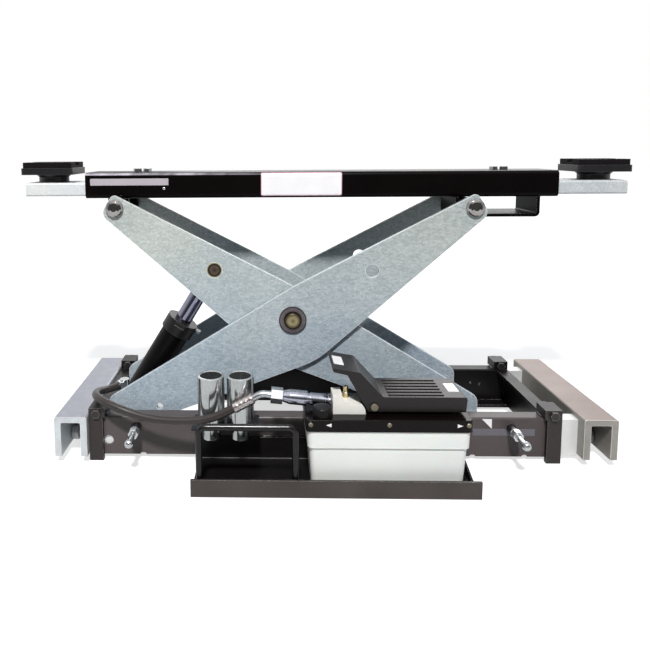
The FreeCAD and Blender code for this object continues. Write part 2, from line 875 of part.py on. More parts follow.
def top_roller():
    end, x, z = top_roller_half_width, right_pin_x, top_pin_height
    wheel = rod_y(-end, end, x, z, top_roller_radius)
    bore = rod_y(-end - overrun, end + overrun, x, z, end_pin_radius + running_clearance)
    return wheel.cut(bore)


# Extension arms and pads

def extension_arm(tip_x, side):
    """Flat tube that slides in the beam, closed at its outer end."""
    inner_x = tip_x - side * ext_length
    outer = box(tip_x, inner_x, -ext_half_width, ext_half_width, ext_bottom, ext_top)
    long_edges = [e for e in outer.Edges if abs(e.tangentAt(0).x) > 0.9]
    outer = outer.makeFillet(beam_corner_radius - beam_wall, long_edges)
    bore = box(tip_x - side * ext_wall, inner_x - side * overrun, -ext_half_width + ext_wall,
               ext_half_width - ext_wall, ext_bottom + ext_wall, ext_top - ext_wall)
    pad_x, hole_radius = tip_x - side * pad_setback, pad_spigot_radius + running_clearance
    hole = rod_z(ext_top - ext_wall - overrun, ext_top + overrun, pad_x, 0, hole_radius)
    return outer.cut(bore).cut(hole)


def pad_saddle(tip_x, side):
    """Swivelling pad head: spigot, round neck, flared root and a square flange."""
    pad_x = tip_x - side * pad_setback
    seat = ext_top + face_gap
    flange_bottom = seat + pad_neck_height
    spigot = rod_z(seat - pad_spigot_length, seat, pad_x, 0, pad_spigot_radius)
    flare = 0.35 * pad_neck_height
    neck = turned([(0, 0), (pad_neck_radius, 0), (pad_neck_radius, pad_neck_height - flare),
                   (pad_neck_radius + flare, pad_neck_height), (0, pad_neck_height)],
                  Vector(pad_x, 0, seat), Vector(0, 0, 1))
    half_length, half_depth = pad_flange_length / 2, pad_flange_depth / 2
    flange = prism_z(rectangle(pad_x - half_length, pad_x + half_length, -half_depth, half_depth),
                     [pad_flange_corner] * 4, flange_bottom, flange_bottom + pad_flange_height)
    return join([spigot, neck, flange])


def pad_rubber(tip_x, side):
    """Grooved rubber block on top of the saddle."""
    pad_x = tip_x - side * pad_setback
    bottom = ext_top + face_gap + pad_neck_height + pad_flange_height
    top = bottom + pad_rubber_height
    half_length, half_depth = pad_rubber_length / 2, pad_rubber_depth / 2
    block = prism_z(rectangle(pad_x - half_length, pad_x + half_length, -half_depth, half_depth),
                    [pad_rubber_corner] * 4, bottom, top)
    groove = box(pad_x - half_length - overrun, pad_x + half_length + overrun,
                 -pad_groove_width / 2, pad_groove_width / 2, top - pad_groove_depth, top + overrun)
    return block.cut(groove)


# Lift cylinder, drawn along +X from its base pin and then leaned

def place_cylinder(shape):
    shape.rotate(Vector(0, 0, 0), Vector(0, 1, 0), -math.degrees(cylinder_angle))
    shape.translate(Vector(left_pin_x, 0, low_pin_height))
    return shape


def cylinder_barrel():
    tube = rod_x(barrel_start, barrel_end, 0, 0, barrel_radius)
    bore = rod_x(barrel_start + barrel_base_thickness, barrel_end + overrun, 0, 0, barrel_bore_radius)
    eye = rod_y(-barrel_eye_half_width, barrel_eye_half_width, 0, 0, barrel_eye_radius)
    root = box(0, barrel_start + barrel_base_thickness / 2, -barrel_eye_half_width, barrel_eye_half_width,
               -0.8 * barrel_eye_radius, 0.8 * barrel_eye_radius)
    pin_hole = rod_y(-barrel_eye_half_width - overrun, barrel_eye_half_width + overrun, 0, 0,
                     end_pin_radius + running_clearance)
    return place_cylinder(join([tube.cut(bore), eye, root]).cut(pin_hole))


def cylinder_gland():
    """Gland nut with a skirt in the barrel, spanner flats and a bleed nipple below."""
    start = gland_top - gland_length
    cap = rod_x(barrel_end, gland_top, 0, 0, gland_radius)
    sleeve = rod_x(start, barrel_end, 0, 0, gland_radius)
    sleeve = sleeve.cut(rod_x(start, barrel_end, 0, 0, barrel_radius))
    skirt = rod_x(barrel_end - gland_skirt, barrel_end, 0, 0, barrel_bore_radius)
    body = join([cap, sleeve, skirt])
    body = body.cut(rod_x(start - gland_skirt, gland_top + overrun, 0, 0, rod_radius + running_clearance))
    flat, outside = gland_radius - gland_flat_depth, gland_radius + overrun
    for way in (-1, 1):
        body = body.cut(box(gland_top - gland_length / 3, gland_top + overrun, way * flat, way * outside,
                            -gland_radius, gland_radius))
    bleed_x = gland_top - bleed_from_top
    nipple = hex_prism(Vector(bleed_x, 0, -gland_radius + gland_flat_depth), Vector(0, 0, -1),
                       bleed_radius, bleed_length)
    return place_cylinder(join([body, nipple]))


def piston_rod():
    """Chromed rod with its piston, drawn out to the raised position."""
    piston_start = barrel_start + barrel_base_thickness + piston_bottom_gap + lift_stroke
    piston_radius = barrel_bore_radius - piston_clearance
    piston = rod_x(piston_start, piston_start + piston_length, 0, 0, piston_radius)
    rod = rod_x(piston_start, cylinder_reach - 0.5 * rod_eye_radius, 0, 0, rod_radius)
    end = rod_eye_half_width + overrun
    eye_space = rod_y(-end, end, cylinder_reach, 0, rod_eye_radius)
    return place_cylinder(join([piston, rod]).cut(eye_space))


def rod_eye():
    eye = rod_y(-rod_eye_half_width, rod_eye_half_width, cylinder_reach, 0, rod_eye_radius)
    end = rod_eye_half_width + overrun
    bore = rod_y(-end, end, cylinder_reach, 0, end_pin_radius)
    return place_cylinder(eye.cut(bore))


def lift_shaft():
    """Cross shaft through the rod eye; it ends just inside the inner arm plates."""
    end = inner_arm_inner_face - lift_shaft_gap
    return place_cylinder(rod_y(-end, end, cylinder_reach, 0, end_pin_radius))


# Tray, handle loop, shelf and stack adapters

def tray():
    """Folded tray with a front lip, a back leg on the rail and a gusset at its right end."""
    back, t = -rail_outer_half_width, tray_thickness
    inner_front = tray_front + t
    outline = [
        (tray_front, 0), (back, 0), (back, tray_back_height), (back - t, tray_back_height),
        (back - t, t), (inner_front, t), (inner_front, tray_lip_height), (tray_front, tray_lip_height),
    ]
    r = tray_bend_radius
    sheet = prism_x(outline, [r, 0, 0, 0, r, r, 0, 0], tray_left, tray_right)
    web = [(back - t, t), (back - t, tray_back_height), (inner_front, 1.5 * t), (inner_front, t)]
    x1 = tray_right - gusset_inset
    gusset = prism_x(web, [0] * 4, x1 - gusset_thickness, x1)
    return join([sheet, gusset])


def handle_loop():
    """Round bar bent to a loop that stands just behind the lip."""
    y = tray_front + tray_thickness + tray_bend_radius + loop_bar_radius
    left, right, top = loop_left + loop_bar_radius, loop_right - loop_bar_radius, loop_top - loop_bar_radius
    r = loop_corner_radius - loop_bar_radius
    diagonal = r * (1 - math.cos(math.pi / 4))
    foot = tray_thickness
    edges = [
        Part.LineSegment(Vector(left, y, foot), Vector(left, y, top - r)).toShape(),
        Part.Arc(Vector(left, y, top - r), Vector(left + diagonal, y, top - diagonal),
                 Vector(left + r, y, top)).toShape(),
        Part.LineSegment(Vector(left + r, y, top), Vector(right - r, y, top)).toShape(),
        Part.Arc(Vector(right - r, y, top), Vector(right - diagonal, y, top - diagonal),
                 Vector(right, y, top - r)).toShape(),
        Part.LineSegment(Vector(right, y, top - r), Vector(right, y, foot)).toShape(),
    ]
    ring = Part.Wire(Part.makeCircle(loop_bar_radius, Vector(left, y, foot), Vector(0, 0, 1)))
    return Part.Wire(edges).makePipeShell([ring], True, True)


def adapter_places():
    return [adapter_left_x, adapter_left_x + adapter_pitch]


def adapter_shelf():
    """Folded shelf on the front rail; the adapters hang in its two holes."""
    back = -rail_outer_half_width
    front = adapter_y - adapter_radius - shelf_margin / 2
    left = adapter_left_x - adapter_radius - shelf_margin
    right = adapter_left_x + adapter_pitch + adapter_radius + shelf_margin
    shelf_bottom = shelf_top - shelf_thickness
    skirt_bottom = shelf_bottom - shelf_skirt_height
    outline = [
        (front, shelf_bottom), (back - shelf_thickness, shelf_bottom),
        (back - shelf_thickness, skirt_bottom), (back, skirt_bottom), (back, shelf_top), (front, shelf_top),
    ]
    plate = prism_x(outline, [0] * 6, left, right)
    hole = adapter_spigot_radius + shelf_hole_clearance
    for x in adapter_places():
        plate = plate.cut(rod_z(shelf_bottom - overrun, shelf_top + overrun, x, adapter_y, hole))
    return plate


def stack_adapter(x):
    """Turned tube with a spigot below and an open bore above."""
    bottom = shelf_top + face_gap
    height = adapter_top - bottom
    edge = adapter_edge
    profile = [
        (0, -adapter_spigot_length), (adapter_spigot_radius - edge, -adapter_spigot_length),
        (adapter_spigot_radius, -adapter_spigot_length + edge), (adapter_spigot_radius, 0),
        (adapter_radius - edge, 0), (adapter_radius, edge), (adapter_radius, height - edge),
        (adapter_radius - edge, height), (adapter_bore_radius + edge, height),
        (adapter_bore_radius, height - edge), (adapter_bore_radius, edge + adapter_spigot_radius / 4),
        (0, edge + adapter_spigot_radius / 4),
    ]
    return turned(profile, Vector(x, adapter_y, bottom), Vector(0, 0, 1))


# Foot pump

def reservoir():
    """Moulded tank, drawn in towards its floor, with a small step near the top."""
    left, right, front = reservoir_left, reservoir_right, reservoir_front
    back = front + reservoir_depth

    def ring(inset, z):
        corners = rectangle(left + inset, right - inset, front + inset, back - inset)
        return rounded_wire([Vector(x, y, z) for x, y in corners], [reservoir_corner] * 4)

    lower = Part.makeLoft([ring(reservoir_taper + reservoir_step, tray_thickness),
                           ring(reservoir_step + 0.2 * reservoir_taper, reservoir_step_height)], True, True)
    upper = Part.makeLoft([ring(0.2 * reservoir_taper, reservoir_step_height),
                           ring(0, reservoir_top)], True, True)
    return join([lower, upper])


def pump_lid():
    left, right = reservoir_left - lid_edge, reservoir_right + lid_edge
    front, back = reservoir_front - lid_edge, reservoir_front + reservoir_depth + lid_edge
    plate = prism_z(rectangle(left, right, front, back), [lid_corner] * 4, reservoir_top, lid_top)
    rim = [e for e in plate.Edges if abs(e.CenterOfMass.z - lid_top) < running_clearance]
    plate = plate.makeFillet(lid_edge, rim)
    neck = rod_z(lid_top, lid_top + neck_height, cap_x, cap_y, neck_radius)
    y0 = treadle_front + treadle_wall + slide_clearance
    y1 = treadle_front + treadle_depth - treadle_wall - slide_clearance
    x, z, top_half = treadle_pivot_x, treadle_pivot_z, cheek_top_half_width
    cheek_outline = [
        (x - cheek_half_width, lid_top), (x + cheek_half_width, lid_top),
        (x + top_half, z + top_half), (x - top_half, z + top_half),
    ]
    cheeks = prism_y(cheek_outline, [0, 0, treadle_bolt_radius, treadle_bolt_radius], y0, y1)
    cheeks = cheeks.cut(rod_y(y0 - overrun, y1 + overrun, x, z, treadle_bolt_radius))
    return join([plate, neck, cheeks])


def lid_screws():
    left, right = reservoir_left + lid_screw_inset, reservoir_right - lid_screw_inset
    face, z = reservoir_front - lid_edge, lid_top - lid_screw_drop
    radius, height = lid_screw_radius, lid_screw_head
    profile = [(0, 0), (radius, 0), (0.6 * radius, height), (0, height)]
    screws = []
    for x in (left, (left + right) / 2, right):
        screws.append(turned(profile, Vector(x, face, z), Vector(0, -1, 0)))
    return screws


def pump_block():
    """Cast valve block that steps down towards the treadle."""
    left, base, rise = block_left, lid_top, block_top - lid_top
    ledge = base + valve_ledge_share * rise
    outline = [
        (left, base), (left + 1.72 * rise, base), (left + 1.70 * rise, base + 0.25 * rise),
        (left + 1.55 * rise, base + 0.50 * rise), (left + 0.92 * rise, base + 0.52 * rise),
        (left + 0.90 * rise, ledge), (left + 0.52 * rise, ledge),
        (left + 0.50 * rise, block_top), (left, block_top),
    ]
    radii = [0, 0] + [block_corner] * 7
    return prism_y(outline, radii, block_front_y, block_front_y + block_depth)


def outlet_valve():
    """Brass hexagon with its stem, on the ledge of the block."""
    seat = lid_top + valve_ledge_share * (block_top - lid_top)
    middle, shoulder = block_front_y + block_depth / 2, seat + valve_height
    body = hex_prism(Vector(valve_x, middle, seat), Vector(0, 0, 1), valve_radius, valve_height)
    stem = rod_z(shoulder, shoulder + valve_stem_height, valve_x, middle, valve_stem_radius)
    return join([body, stem])


def treadle():
    """Foot treadle moulded as a shell: ribbed flat heel, shank and a blunt raised toe."""
    x, z, unit, wall = treadle_pivot_x, treadle_pivot_z, treadle_depth, treadle_wall
    bottom, top = lid_top + treadle_gap, z + 0.196 * unit
    outline = [
        (x - 0.120 * unit, bottom), (x + 1.817 * unit, bottom), (x + 1.842 * unit, top),
        (x + 0.173 * unit, top), (x - 0.286 * unit, z + 0.695 * unit), (x - 0.846 * unit, z + 0.793 * unit),
        (x - 0.815 * unit, z + 0.708 * unit), (x - 0.539 * unit, z + 0.643 * unit),
    ]
    small, large = 0.5 * treadle_corner, treadle_corner
    radii = [small, small, large, large, large, small, small, large]
    y0, y1 = treadle_front, treadle_front + treadle_depth
    body = prism_y(outline, radii, y0, y1)
    hollow = [
        (x - 0.27 * unit, lid_top - overrun), (x + 1.77 * unit, lid_top - overrun),
        (x + 1.79 * unit, top - wall), (x + 0.15 * unit, top - wall), (x - 0.33 * unit, z + 0.62 * unit),
        (x - 0.45 * unit, z + 0.62 * unit), (x - 0.27 * unit, z + 0.25 * unit),
    ]
    body = body.cut(prism_y(hollow, [0] * 7, y0 + wall, y1 - wall))
    pitch = (unit - 2 * wall) / treadle_rib_count
    half = treadle_rib_width / 2
    ribs = []
    for i in range(treadle_rib_count):
        y = y0 + wall + (i + 0.5) * pitch
        ribs.append(box(x + 0.30 * unit, x + 1.40 * unit, y - half, y + half,
                        top - 0.5 * wall, top + treadle_rib_height))
    body = join([body] + ribs)
    hole = rod_y(y0 - overrun, y1 + overrun, x, z, treadle_bolt_radius + running_clearance)
    return body.cut(hole)


def treadle_bolt():
    x, z = treadle_pivot_x, treadle_pivot_z
    y0, y1 = treadle_front - face_gap, treadle_front + treadle_depth + face_gap
    shank = rod_y(y0, y1, x, z, treadle_bolt_radius)
    front_head = rod_y(y0 - treadle_bolt_head, y0, x, z, treadle_bolt_head_radius)
    rear_head = rod_y(y1, y1 + treadle_bolt_head, x, z, treadle_bolt_head_radius)
    return join([shank, front_head, rear_head])


def filler_cap():
    """Fluted screw cap over the filler neck."""
    seat = lid_top + face_gap
    height, r = cap_height, cap_radius
    inner = neck_radius + slide_clearance
    ceiling = neck_height + face_gap
    profile = [
        (inner, 0), (r, 0), (r, height - cap_dome), (r - cap_dome, height), (0, height),
        (0, ceiling), (inner, ceiling),
    ]
    cap = turned(profile, Vector(cap_x, cap_y, seat), Vector(0, 0, 1))
    flutes = []
    for i in range(cap_flute_count):
        angle = 2 * math.pi * i / cap_flute_count
        flutes.append(rod_z(seat - overrun, seat + height + overrun,
                            cap_x + cap_flute_share * r * math.cos(angle),
                            cap_y + cap_flute_share * r * math.sin(angle), cap_flute_radius))
    return cap.cut(flutes)


# Outlet fittings, from the block to the hose

def outlet_direction():
    length = coupler_length + nose_length
    return Vector(-length, 0, outlet_rise).normalize()


def coupler_start():
    return Vector(block_left - coupler_seat_gap, outlet_y, outlet_z)


def coupler():
    """Banded coupler sleeve and its plain nose."""
    start = coupler_start()
    way = outlet_direction()
    small, ring, band = 0.85 * coupler_radius, 0.9 * nose_radius, 0.12 * coupler_length
    length, whole = coupler_length, coupler_length + nose_length
    profile = [
        (0, 0), (ring, 0), (ring, band), (small, band), (small, 2 * band), (coupler_radius, 2 * band),
        (coupler_radius, length - band), (small, length - band), (small, length), (nose_radius, length),
        (nose_radius, length + 0.7 * nose_length), (small, whole), (0, whole),
    ]
    return turned(profile, start, way)


def nut_start():
    return coupler_start() + outlet_direction() * (coupler_length + nose_length)


def elbow_frame():
    """Centre of the bend, and the start and end points and directions of the elbow."""
    way = outlet_direction()
    start = nut_start() + way * collar_nut_length
    down = Vector(way.z, 0, -way.x).normalize() * -1
    bend_centre = start + way * elbow_straight + down * elbow_bend_radius
    turn = math.radians(elbow_turn)
    radius = elbow_bend_radius
    end = bend_centre - down * (radius * math.cos(turn)) + way * (radius * math.sin(turn))
    middle = bend_centre - down * (radius * math.cos(turn / 2)) + way * (radius * math.sin(turn / 2))
    end_way = way * math.cos(turn) + down * math.sin(turn)
    return start, start + way * elbow_straight, middle, end, end_way


def hose_elbow():
    """Hexagon nut with the bent tube that turns down to the hose."""
    way = outlet_direction()
    nut = hex_prism(nut_start(), way, collar_nut_radius, collar_nut_length, 30.0)
    start, bend_start, middle, end, end_way = elbow_frame()
    tail = end + end_way * elbow_straight
    path = Part.Wire([
        Part.LineSegment(start, bend_start).toShape(),
        Part.Arc(bend_start, middle, end).toShape(),
        Part.LineSegment(end, tail).toShape(),
    ])
    ring = Part.Wire(Part.makeCircle(elbow_radius, start, way))
    return join([nut, path.makePipeShell([ring], True, True)])


def ferrule_start():
    end, end_way = elbow_frame()[-2:]
    return end + end_way * elbow_straight, end_way


def hose_ferrule():
    """Crimped ferrule with three shallow grooves."""
    start, way = ferrule_start()
    r, g, n = ferrule_radius, ferrule_groove, ferrule_length / 10
    profile = [
        (0, 0), (r - g, 0), (r, n / 2), (r, 2 * n), (r - g, 2.2 * n), (r - g, 2.8 * n), (r, 3 * n),
        (r, 4.5 * n), (r - g, 4.7 * n), (r - g, 5.3 * n), (r, 5.5 * n), (r, 7 * n), (r - g, 7.2 * n),
        (r - g, 7.8 * n), (r, 8 * n), (r, 10 * n), (0, 10 * n),
    ]
    return turned(profile, start, way)


# Hose, from the ferrule to the swivel at the foot of the cylinder

def swivel_port():
    """Centre of the swivel's port and the direction in which it faces."""
    turn = math.radians(swivel_port_turn)
    port = Vector(left_pin_x, swivel_y, low_pin_height + swivel_port_height)
    return port, Vector(-math.cos(turn), -math.sin(turn), 0)


def hose_points():
    start, way = ferrule_start()
    start = start + way * ferrule_length
    port, port_way = swivel_port()
    end = port + port_way * swivel_nut_length
    first, last = start + way * hose_lead, end + port_way * hose_lead
    route = [start, first]
    for along, back, height in hose_route_shares:
        x = first.x + along * (last.x - first.x)
        y = first.y + back * (last.y - first.y)
        route.append(Vector(x, y, height * port.z))
    return route + [last, end]


def hose():
    points = hose_points()
    edges = []
    last = points[0]
    for i in range(1, len(points) - 1):
        before = points[i - 1] - points[i]
        after = points[i + 1] - points[i]
        run = min(before.Length, after.Length)
        turn = math.pi - before.getAngle(after)
        radius = 0.45 * run / math.tan(turn / 2)
        reach = 0.45 * run
        start = points[i] + before.normalize() * reach
        end = points[i] + after.normalize() * reach
        inward = (before + after).normalize()
        depth = radius / math.cos(turn / 2) - radius
        middle = points[i] + inward * depth
        edges.append(Part.LineSegment(last, start).toShape())
        edges.append(Part.Arc(start, middle, end).toShape())
        last = end
        print("hose point", [round(v, 2) for v in points[i]])
        print("hose bend", i, "radius", round(radius, 1), "turn", round(math.degrees(turn), 1))
    edges.append(Part.LineSegment(last, points[-1]).toShape())
    print("hose ends", [round(v, 2) for v in points[0]], [round(v, 2) for v in points[-1]])
    route = Part.Wire(edges)
    ring = Part.Wire(Part.makeCircle(hose_radius, points[0], points[1] - points[0]))
    tube = route.makePipeShell([ring], True, True)
    expected = math.pi * hose_radius ** 2 * route.Length
    print("hose length", round(route.Length, 1), "volume share", round(tube.Volume / expected, 4))
    return tube


def swivel_fitting():
    """Swivel ring on the base shaft with a stem up to the end of the hose."""
    half = swivel_ring_width / 2
    ring = rod_y(swivel_y - half, swivel_y + half, left_pin_x, low_pin_height, swivel_ring_radius)
    top = low_pin_height + swivel_port_height
    stem = rod_z(low_pin_height, top + swivel_nut_radius, left_pin_x, swivel_y, swivel_stem_radius)
    port, port_way = swivel_port()
    nut = hex_prism(port, port_way, swivel_nut_radius, swivel_nut_length)
    body = join([ring, stem, nut])
    return body.cut(rod_y(swivel_y - half - overrun, swivel_y + half + overrun,
                          left_pin_x, low_pin_height, end_pin_radius))


# Write every piece

os.makedirs("parts", exist_ok=True)

write("rail_front", rail(True))
write("rail_rear", rail(False))
write("end_plate_left", end_plate(-1))
write("end_plate_right", end_plate(1))
write("corner_bolts", corner_bolts())
write("base_shaft", base_shaft())
write("tray", tray())
write("handle_loop", handle_loop())
write("adapter_shelf", adapter_shelf())
write("lock_housings", lock_housings())
write("reservoir", reservoir())
write("pump_lid", pump_lid())
write("lid_screws", lid_screws())
write("pump_block", pump_block())
write("outlet_valve", outlet_valve())
write("coupler", coupler())
write("hose_elbow", hose_elbow())
write("hose_ferrule", hose_ferrule())
write("hose", hose())
write("swivel_fitting", swivel_fitting())
write("treadle", treadle())
write("treadle_bolt", treadle_bolt())
write("filler_cap", filler_cap())
write("adapter_left", stack_adapter(adapter_places()[0]))
write("adapter_right", stack_adapter(adapter_places()[1]))

write("outer_arm", outer_arm())
write("centre_pin", centre_pin())
write("top_roller_shaft", top_roller_shaft())
write("top_roller", top_roller())
write("inner_arm", inner_arm())
write("lift_pin_caps", lift_pin_caps())
write("bottom_roller_shaft", bottom_roller_shaft())
write("bottom_rollers", bottom_rollers())

write("cylinder_barrel", cylinder_barrel())
write("cylinder_gland", cylinder_gland())
write("piston_rod", piston_rod())
write("rod_eye", rod_eye())
write("lift_shaft", lift_shaft())

write("beam_tube", beam_tube())
write("beam_shaft", beam_shaft())
write("roller_strap", roller_strap())
write("stop_bolts", stop_bolts())

for label, side, tip, inner in (("left", -1, left_ext_tip, left_channel_inner),
                                ("right", 1, right_ext_tip, right_channel_inner)):
    write("extension_arm_" + label, extension_arm(tip, side))
    write("pad_saddle_" + label, pad_saddle(tip, side))
    write("pad_rubber_" + label, pad_rubber(tip, side))
    write("channel_" + label, channel(inner, side))
    write("slide_tubes_" + label, slide_tubes(inner, side))
    write("roller_axles_" + label, track_roller_axles(inner, side))
    write("track_roller_" + label + "_front", track_roller(inner, side, -1))
    write("track_roller_" + label + "_rear", track_roller(inner, side, 1))
    write("lock_plunger_" + label, lock_plunger(side))
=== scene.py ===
import json
import math

import bmesh
import bpy
from mathutils import Matrix, Vector


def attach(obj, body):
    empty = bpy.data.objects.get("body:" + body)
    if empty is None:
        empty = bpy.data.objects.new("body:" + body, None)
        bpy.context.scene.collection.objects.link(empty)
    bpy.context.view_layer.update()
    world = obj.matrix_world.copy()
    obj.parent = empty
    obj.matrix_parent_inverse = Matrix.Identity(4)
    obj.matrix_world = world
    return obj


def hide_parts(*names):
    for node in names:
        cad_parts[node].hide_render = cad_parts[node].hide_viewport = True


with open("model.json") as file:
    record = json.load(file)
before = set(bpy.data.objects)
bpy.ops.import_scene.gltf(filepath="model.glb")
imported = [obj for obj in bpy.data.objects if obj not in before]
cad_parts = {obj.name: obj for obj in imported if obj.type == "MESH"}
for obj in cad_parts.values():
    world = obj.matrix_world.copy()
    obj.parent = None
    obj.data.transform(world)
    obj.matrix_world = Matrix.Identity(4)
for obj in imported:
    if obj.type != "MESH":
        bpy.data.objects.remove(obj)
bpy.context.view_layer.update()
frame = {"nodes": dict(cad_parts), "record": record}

MM = 0.001
# Where the frame's origin lies on the axes of part.py, in millimetres
ORIGIN_X, ORIGIN_Y = 6.15, -52.0


def place(x, y, z):
    """A place in the frame, given in millimetres on the axes of part.py."""
    return Vector(((x - ORIGIN_X) * MM, (y - ORIGIN_Y) * MM, z * MM))


# Camera, at the place and with the lens that fit the photograph

FOCAL_PIXELS = 592.16
PICTURE_SIDE = 650.0
CENTRE_U, CENTRE_V = 251.94, 208.92
CAMERA_SPOT = (-97.77, -1184.6, 574.6)
YAW, PITCH, ROLL = -0.028, 0.101, -0.007
SENSOR = 36.0
CLIP_NEAR, CLIP_FAR = 0.01, 50.0


def make_camera():
    data = bpy.data.cameras.new("camera")
    camera = bpy.data.objects.new("camera", data)
    bpy.context.scene.collection.objects.link(camera)
    ahead = Vector((math.sin(YAW), math.cos(YAW), 0))
    right = Vector((math.cos(YAW), -math.sin(YAW), 0))
    up = Vector((0, 0, 1))
    look = ahead * math.cos(PITCH) - up * math.sin(PITCH)
    top = up * math.cos(PITCH) + ahead * math.sin(PITCH)
    across = right * math.cos(ROLL) + top * math.sin(ROLL)
    top = top * math.cos(ROLL) - right * math.sin(ROLL)
    turn = Matrix((across, top, -look)).transposed().to_4x4()
    camera.matrix_world = Matrix.Translation(place(*CAMERA_SPOT)) @ turn
    data.sensor_width = SENSOR
    data.lens = FOCAL_PIXELS / PICTURE_SIDE * SENSOR
    data.shift_x = (PICTURE_SIDE / 2 - CENTRE_U) / PICTURE_SIDE
    data.shift_y = (CENTRE_V - PICTURE_SIDE / 2) / PICTURE_SIDE
    data.clip_start, data.clip_end = CLIP_NEAR, CLIP_FAR
    bpy.context.scene.camera = camera


# Node helpers

BLACK, WHITE = (0.0, 0.0, 0.0), (1.0, 1.0, 1.0)
EVEN = (1, 1, 1)
# Sockets of a Mix node for colours, and of one for numbers
COLOUR_FIRST, COLOUR_SECOND, COLOUR_RESULT = 6, 7, 2
NUMBER_FIRST, NUMBER_SECOND, NUMBER_RESULT = 2, 3, 0
# Radii of the bevels that find edges and round them in the shading
EDGE_RADIUS, ROUNDING_RADIUS = 0.0012, 0.0008
BEVEL_SAMPLES = 6


def grey(value):
    return (value, value, value)


def tinted(colour, factor, lift=0.0):
    """The colour times a factor, plus a lift, up to full strength."""
    return tuple(min(1.0, factor * c + lift) for c in colour)


class Tree:
    """A node tree, with short calls that add nodes and feed their inputs."""

    def __init__(self, tree):
        self.tree = tree

    def feed(self, socket, value):
        """Gives an input a constant or the output of another node."""
        if isinstance(value, bpy.types.NodeSocket):
            self.tree.links.new(value, socket)
        elif isinstance(value, tuple) and len(socket.default_value) == 4:
            socket.default_value = (*value, 1)
        else:
            socket.default_value = value

    def node(self, kind, inputs, **settings):
        made = self.tree.nodes.new("ShaderNode" + kind)
        for key, value in settings.items():
            setattr(made, key, value)
        for key, value in inputs.items():
            self.feed(made.inputs[key], value)
        return made

    def math(self, operation, *values):
        return self.node("Math", dict(enumerate(values)), operation=operation).outputs[0]

    def axes(self, vector):
        return self.node("SeparateXYZ", {"Vector": vector}).outputs

    def between(self, value, low, high, to_low=0.0, to_high=1.0):
        """Maps low to to_low and high to to_high, with no value past them."""
        made = self.node("MapRange", {"Value": value, "From Min": low, "From Max": high,
                                      "To Min": to_low, "To Max": to_high})
        return made.outputs["Result"]

    def mix(self, factor, first, second, blend="MIX"):
        made = self.node("Mix", {}, data_type="RGBA", blend_type=blend)
        for key, value in ((0, factor), (COLOUR_FIRST, first), (COLOUR_SECOND, second)):
            self.feed(made.inputs[key], value)
        return made.outputs[COLOUR_RESULT]

    def mix_numbers(self, factor, first, second):
        made = self.node("Mix", {0: factor, NUMBER_FIRST: first, NUMBER_SECOND: second})
        return made.outputs[NUMBER_RESULT]


class Finish(Tree):
    """A material's tree, with short calls for the textures that it mixes."""

    def __init__(self, name):
        self.material = bpy.data.materials.new(name)
        self.material.use_nodes = True
        super().__init__(self.material.node_tree)
        self.shader = self.tree.nodes["Principled BSDF"]
        self.coords = self.node("TexCoord", {})

    def mapped(self, scale):
        made = self.node("Mapping", {"Vector": self.coords.outputs["Object"], "Scale": scale})
        return made.outputs["Vector"]

    def noise(self, scale, detail=4.0, stretch=EVEN, rough=0.55):
        made = self.node("TexNoise", {"Vector": self.mapped(stretch), "Scale": scale, "Detail": detail,
                                      "Roughness": rough})
        return made.outputs["Fac"]

    def cells(self, scale, stretch):
        return self.node("TexVoronoi", {"Vector": self.mapped(stretch), "Scale": scale}).outputs["Color"]

    def ramp(self, value, stops):
        made = self.node("ValToRGB", {"Fac": value})
        ramp = made.color_ramp
        for i, (at, colour) in enumerate(stops):
            stop = ramp.elements[i] if i < 2 else ramp.elements.new(at)
            stop.position = at
            stop.color = (*colour, 1)
        return made.outputs["Color"]

    def spots(self, value, low, high, strength=1.0):
        """Black below the low value, rising to the strength at the high one."""
        return self.ramp(value, ((low, BLACK), (high, grey(strength))))

    def spread(self, value, low, high):
        """Maps a 0 to 1 texture to the range from low to high."""
        return self.between(value, 0.0, 1.0, low, high)

    def times(self, first, second):
        return self.mix(1.0, first, second, "MULTIPLY")

    def edges(self, radius=EDGE_RADIUS):
        """Near 1 along edges, where a bevel of the radius would turn the surface."""
        bevel = self.node("Bevel", {"Radius": radius}, samples=BEVEL_SAMPLES)
        geometry = self.node("NewGeometry", {})
        dot = self.node("VectorMath", {0: bevel.outputs["Normal"], 1: geometry.outputs["Normal"]},
                        operation="DOT_PRODUCT")
        return self.ramp(dot.outputs["Value"], ((0.88, WHITE), (0.995, BLACK)))

    def along(self, axis, low, high):
        """0 to 1 between two places on one axis, both in metres in the frame."""
        return self.between(self.axes(self.coords.outputs["Object"])[axis], low, high)

    def away(self, centre, keep, reach):
        """0 at a centre in the frame, 1 at the reach from it, measured along the kept axes."""
        offset = self.node("VectorMath", {0: self.coords.outputs["Object"], 1: centre}, operation="SUBTRACT")
        kept = self.node("VectorMath", {0: offset.outputs[0], 1: keep}, operation="MULTIPLY")
        length = self.node("VectorMath", {0: kept.outputs[0]}, operation="LENGTH")
        return self.between(length.outputs["Value"], 0.0, reach)

    def bump(self, height, strength, distance=0.0003):
        rounding = self.node("Bevel", {"Radius": ROUNDING_RADIUS}, samples=BEVEL_SAMPLES)
        made = self.node("Bump", {"Height": height, "Strength": strength, "Distance": distance,
                                  "Normal": rounding.outputs["Normal"]})
        self.feed(self.shader.inputs["Normal"], made.outputs["Normal"])

    def set(self, **values):
        for key, value in values.items():
            self.feed(self.shader.inputs[key.replace("_", " ")], value)
        return self.material


# Finishes of the jack

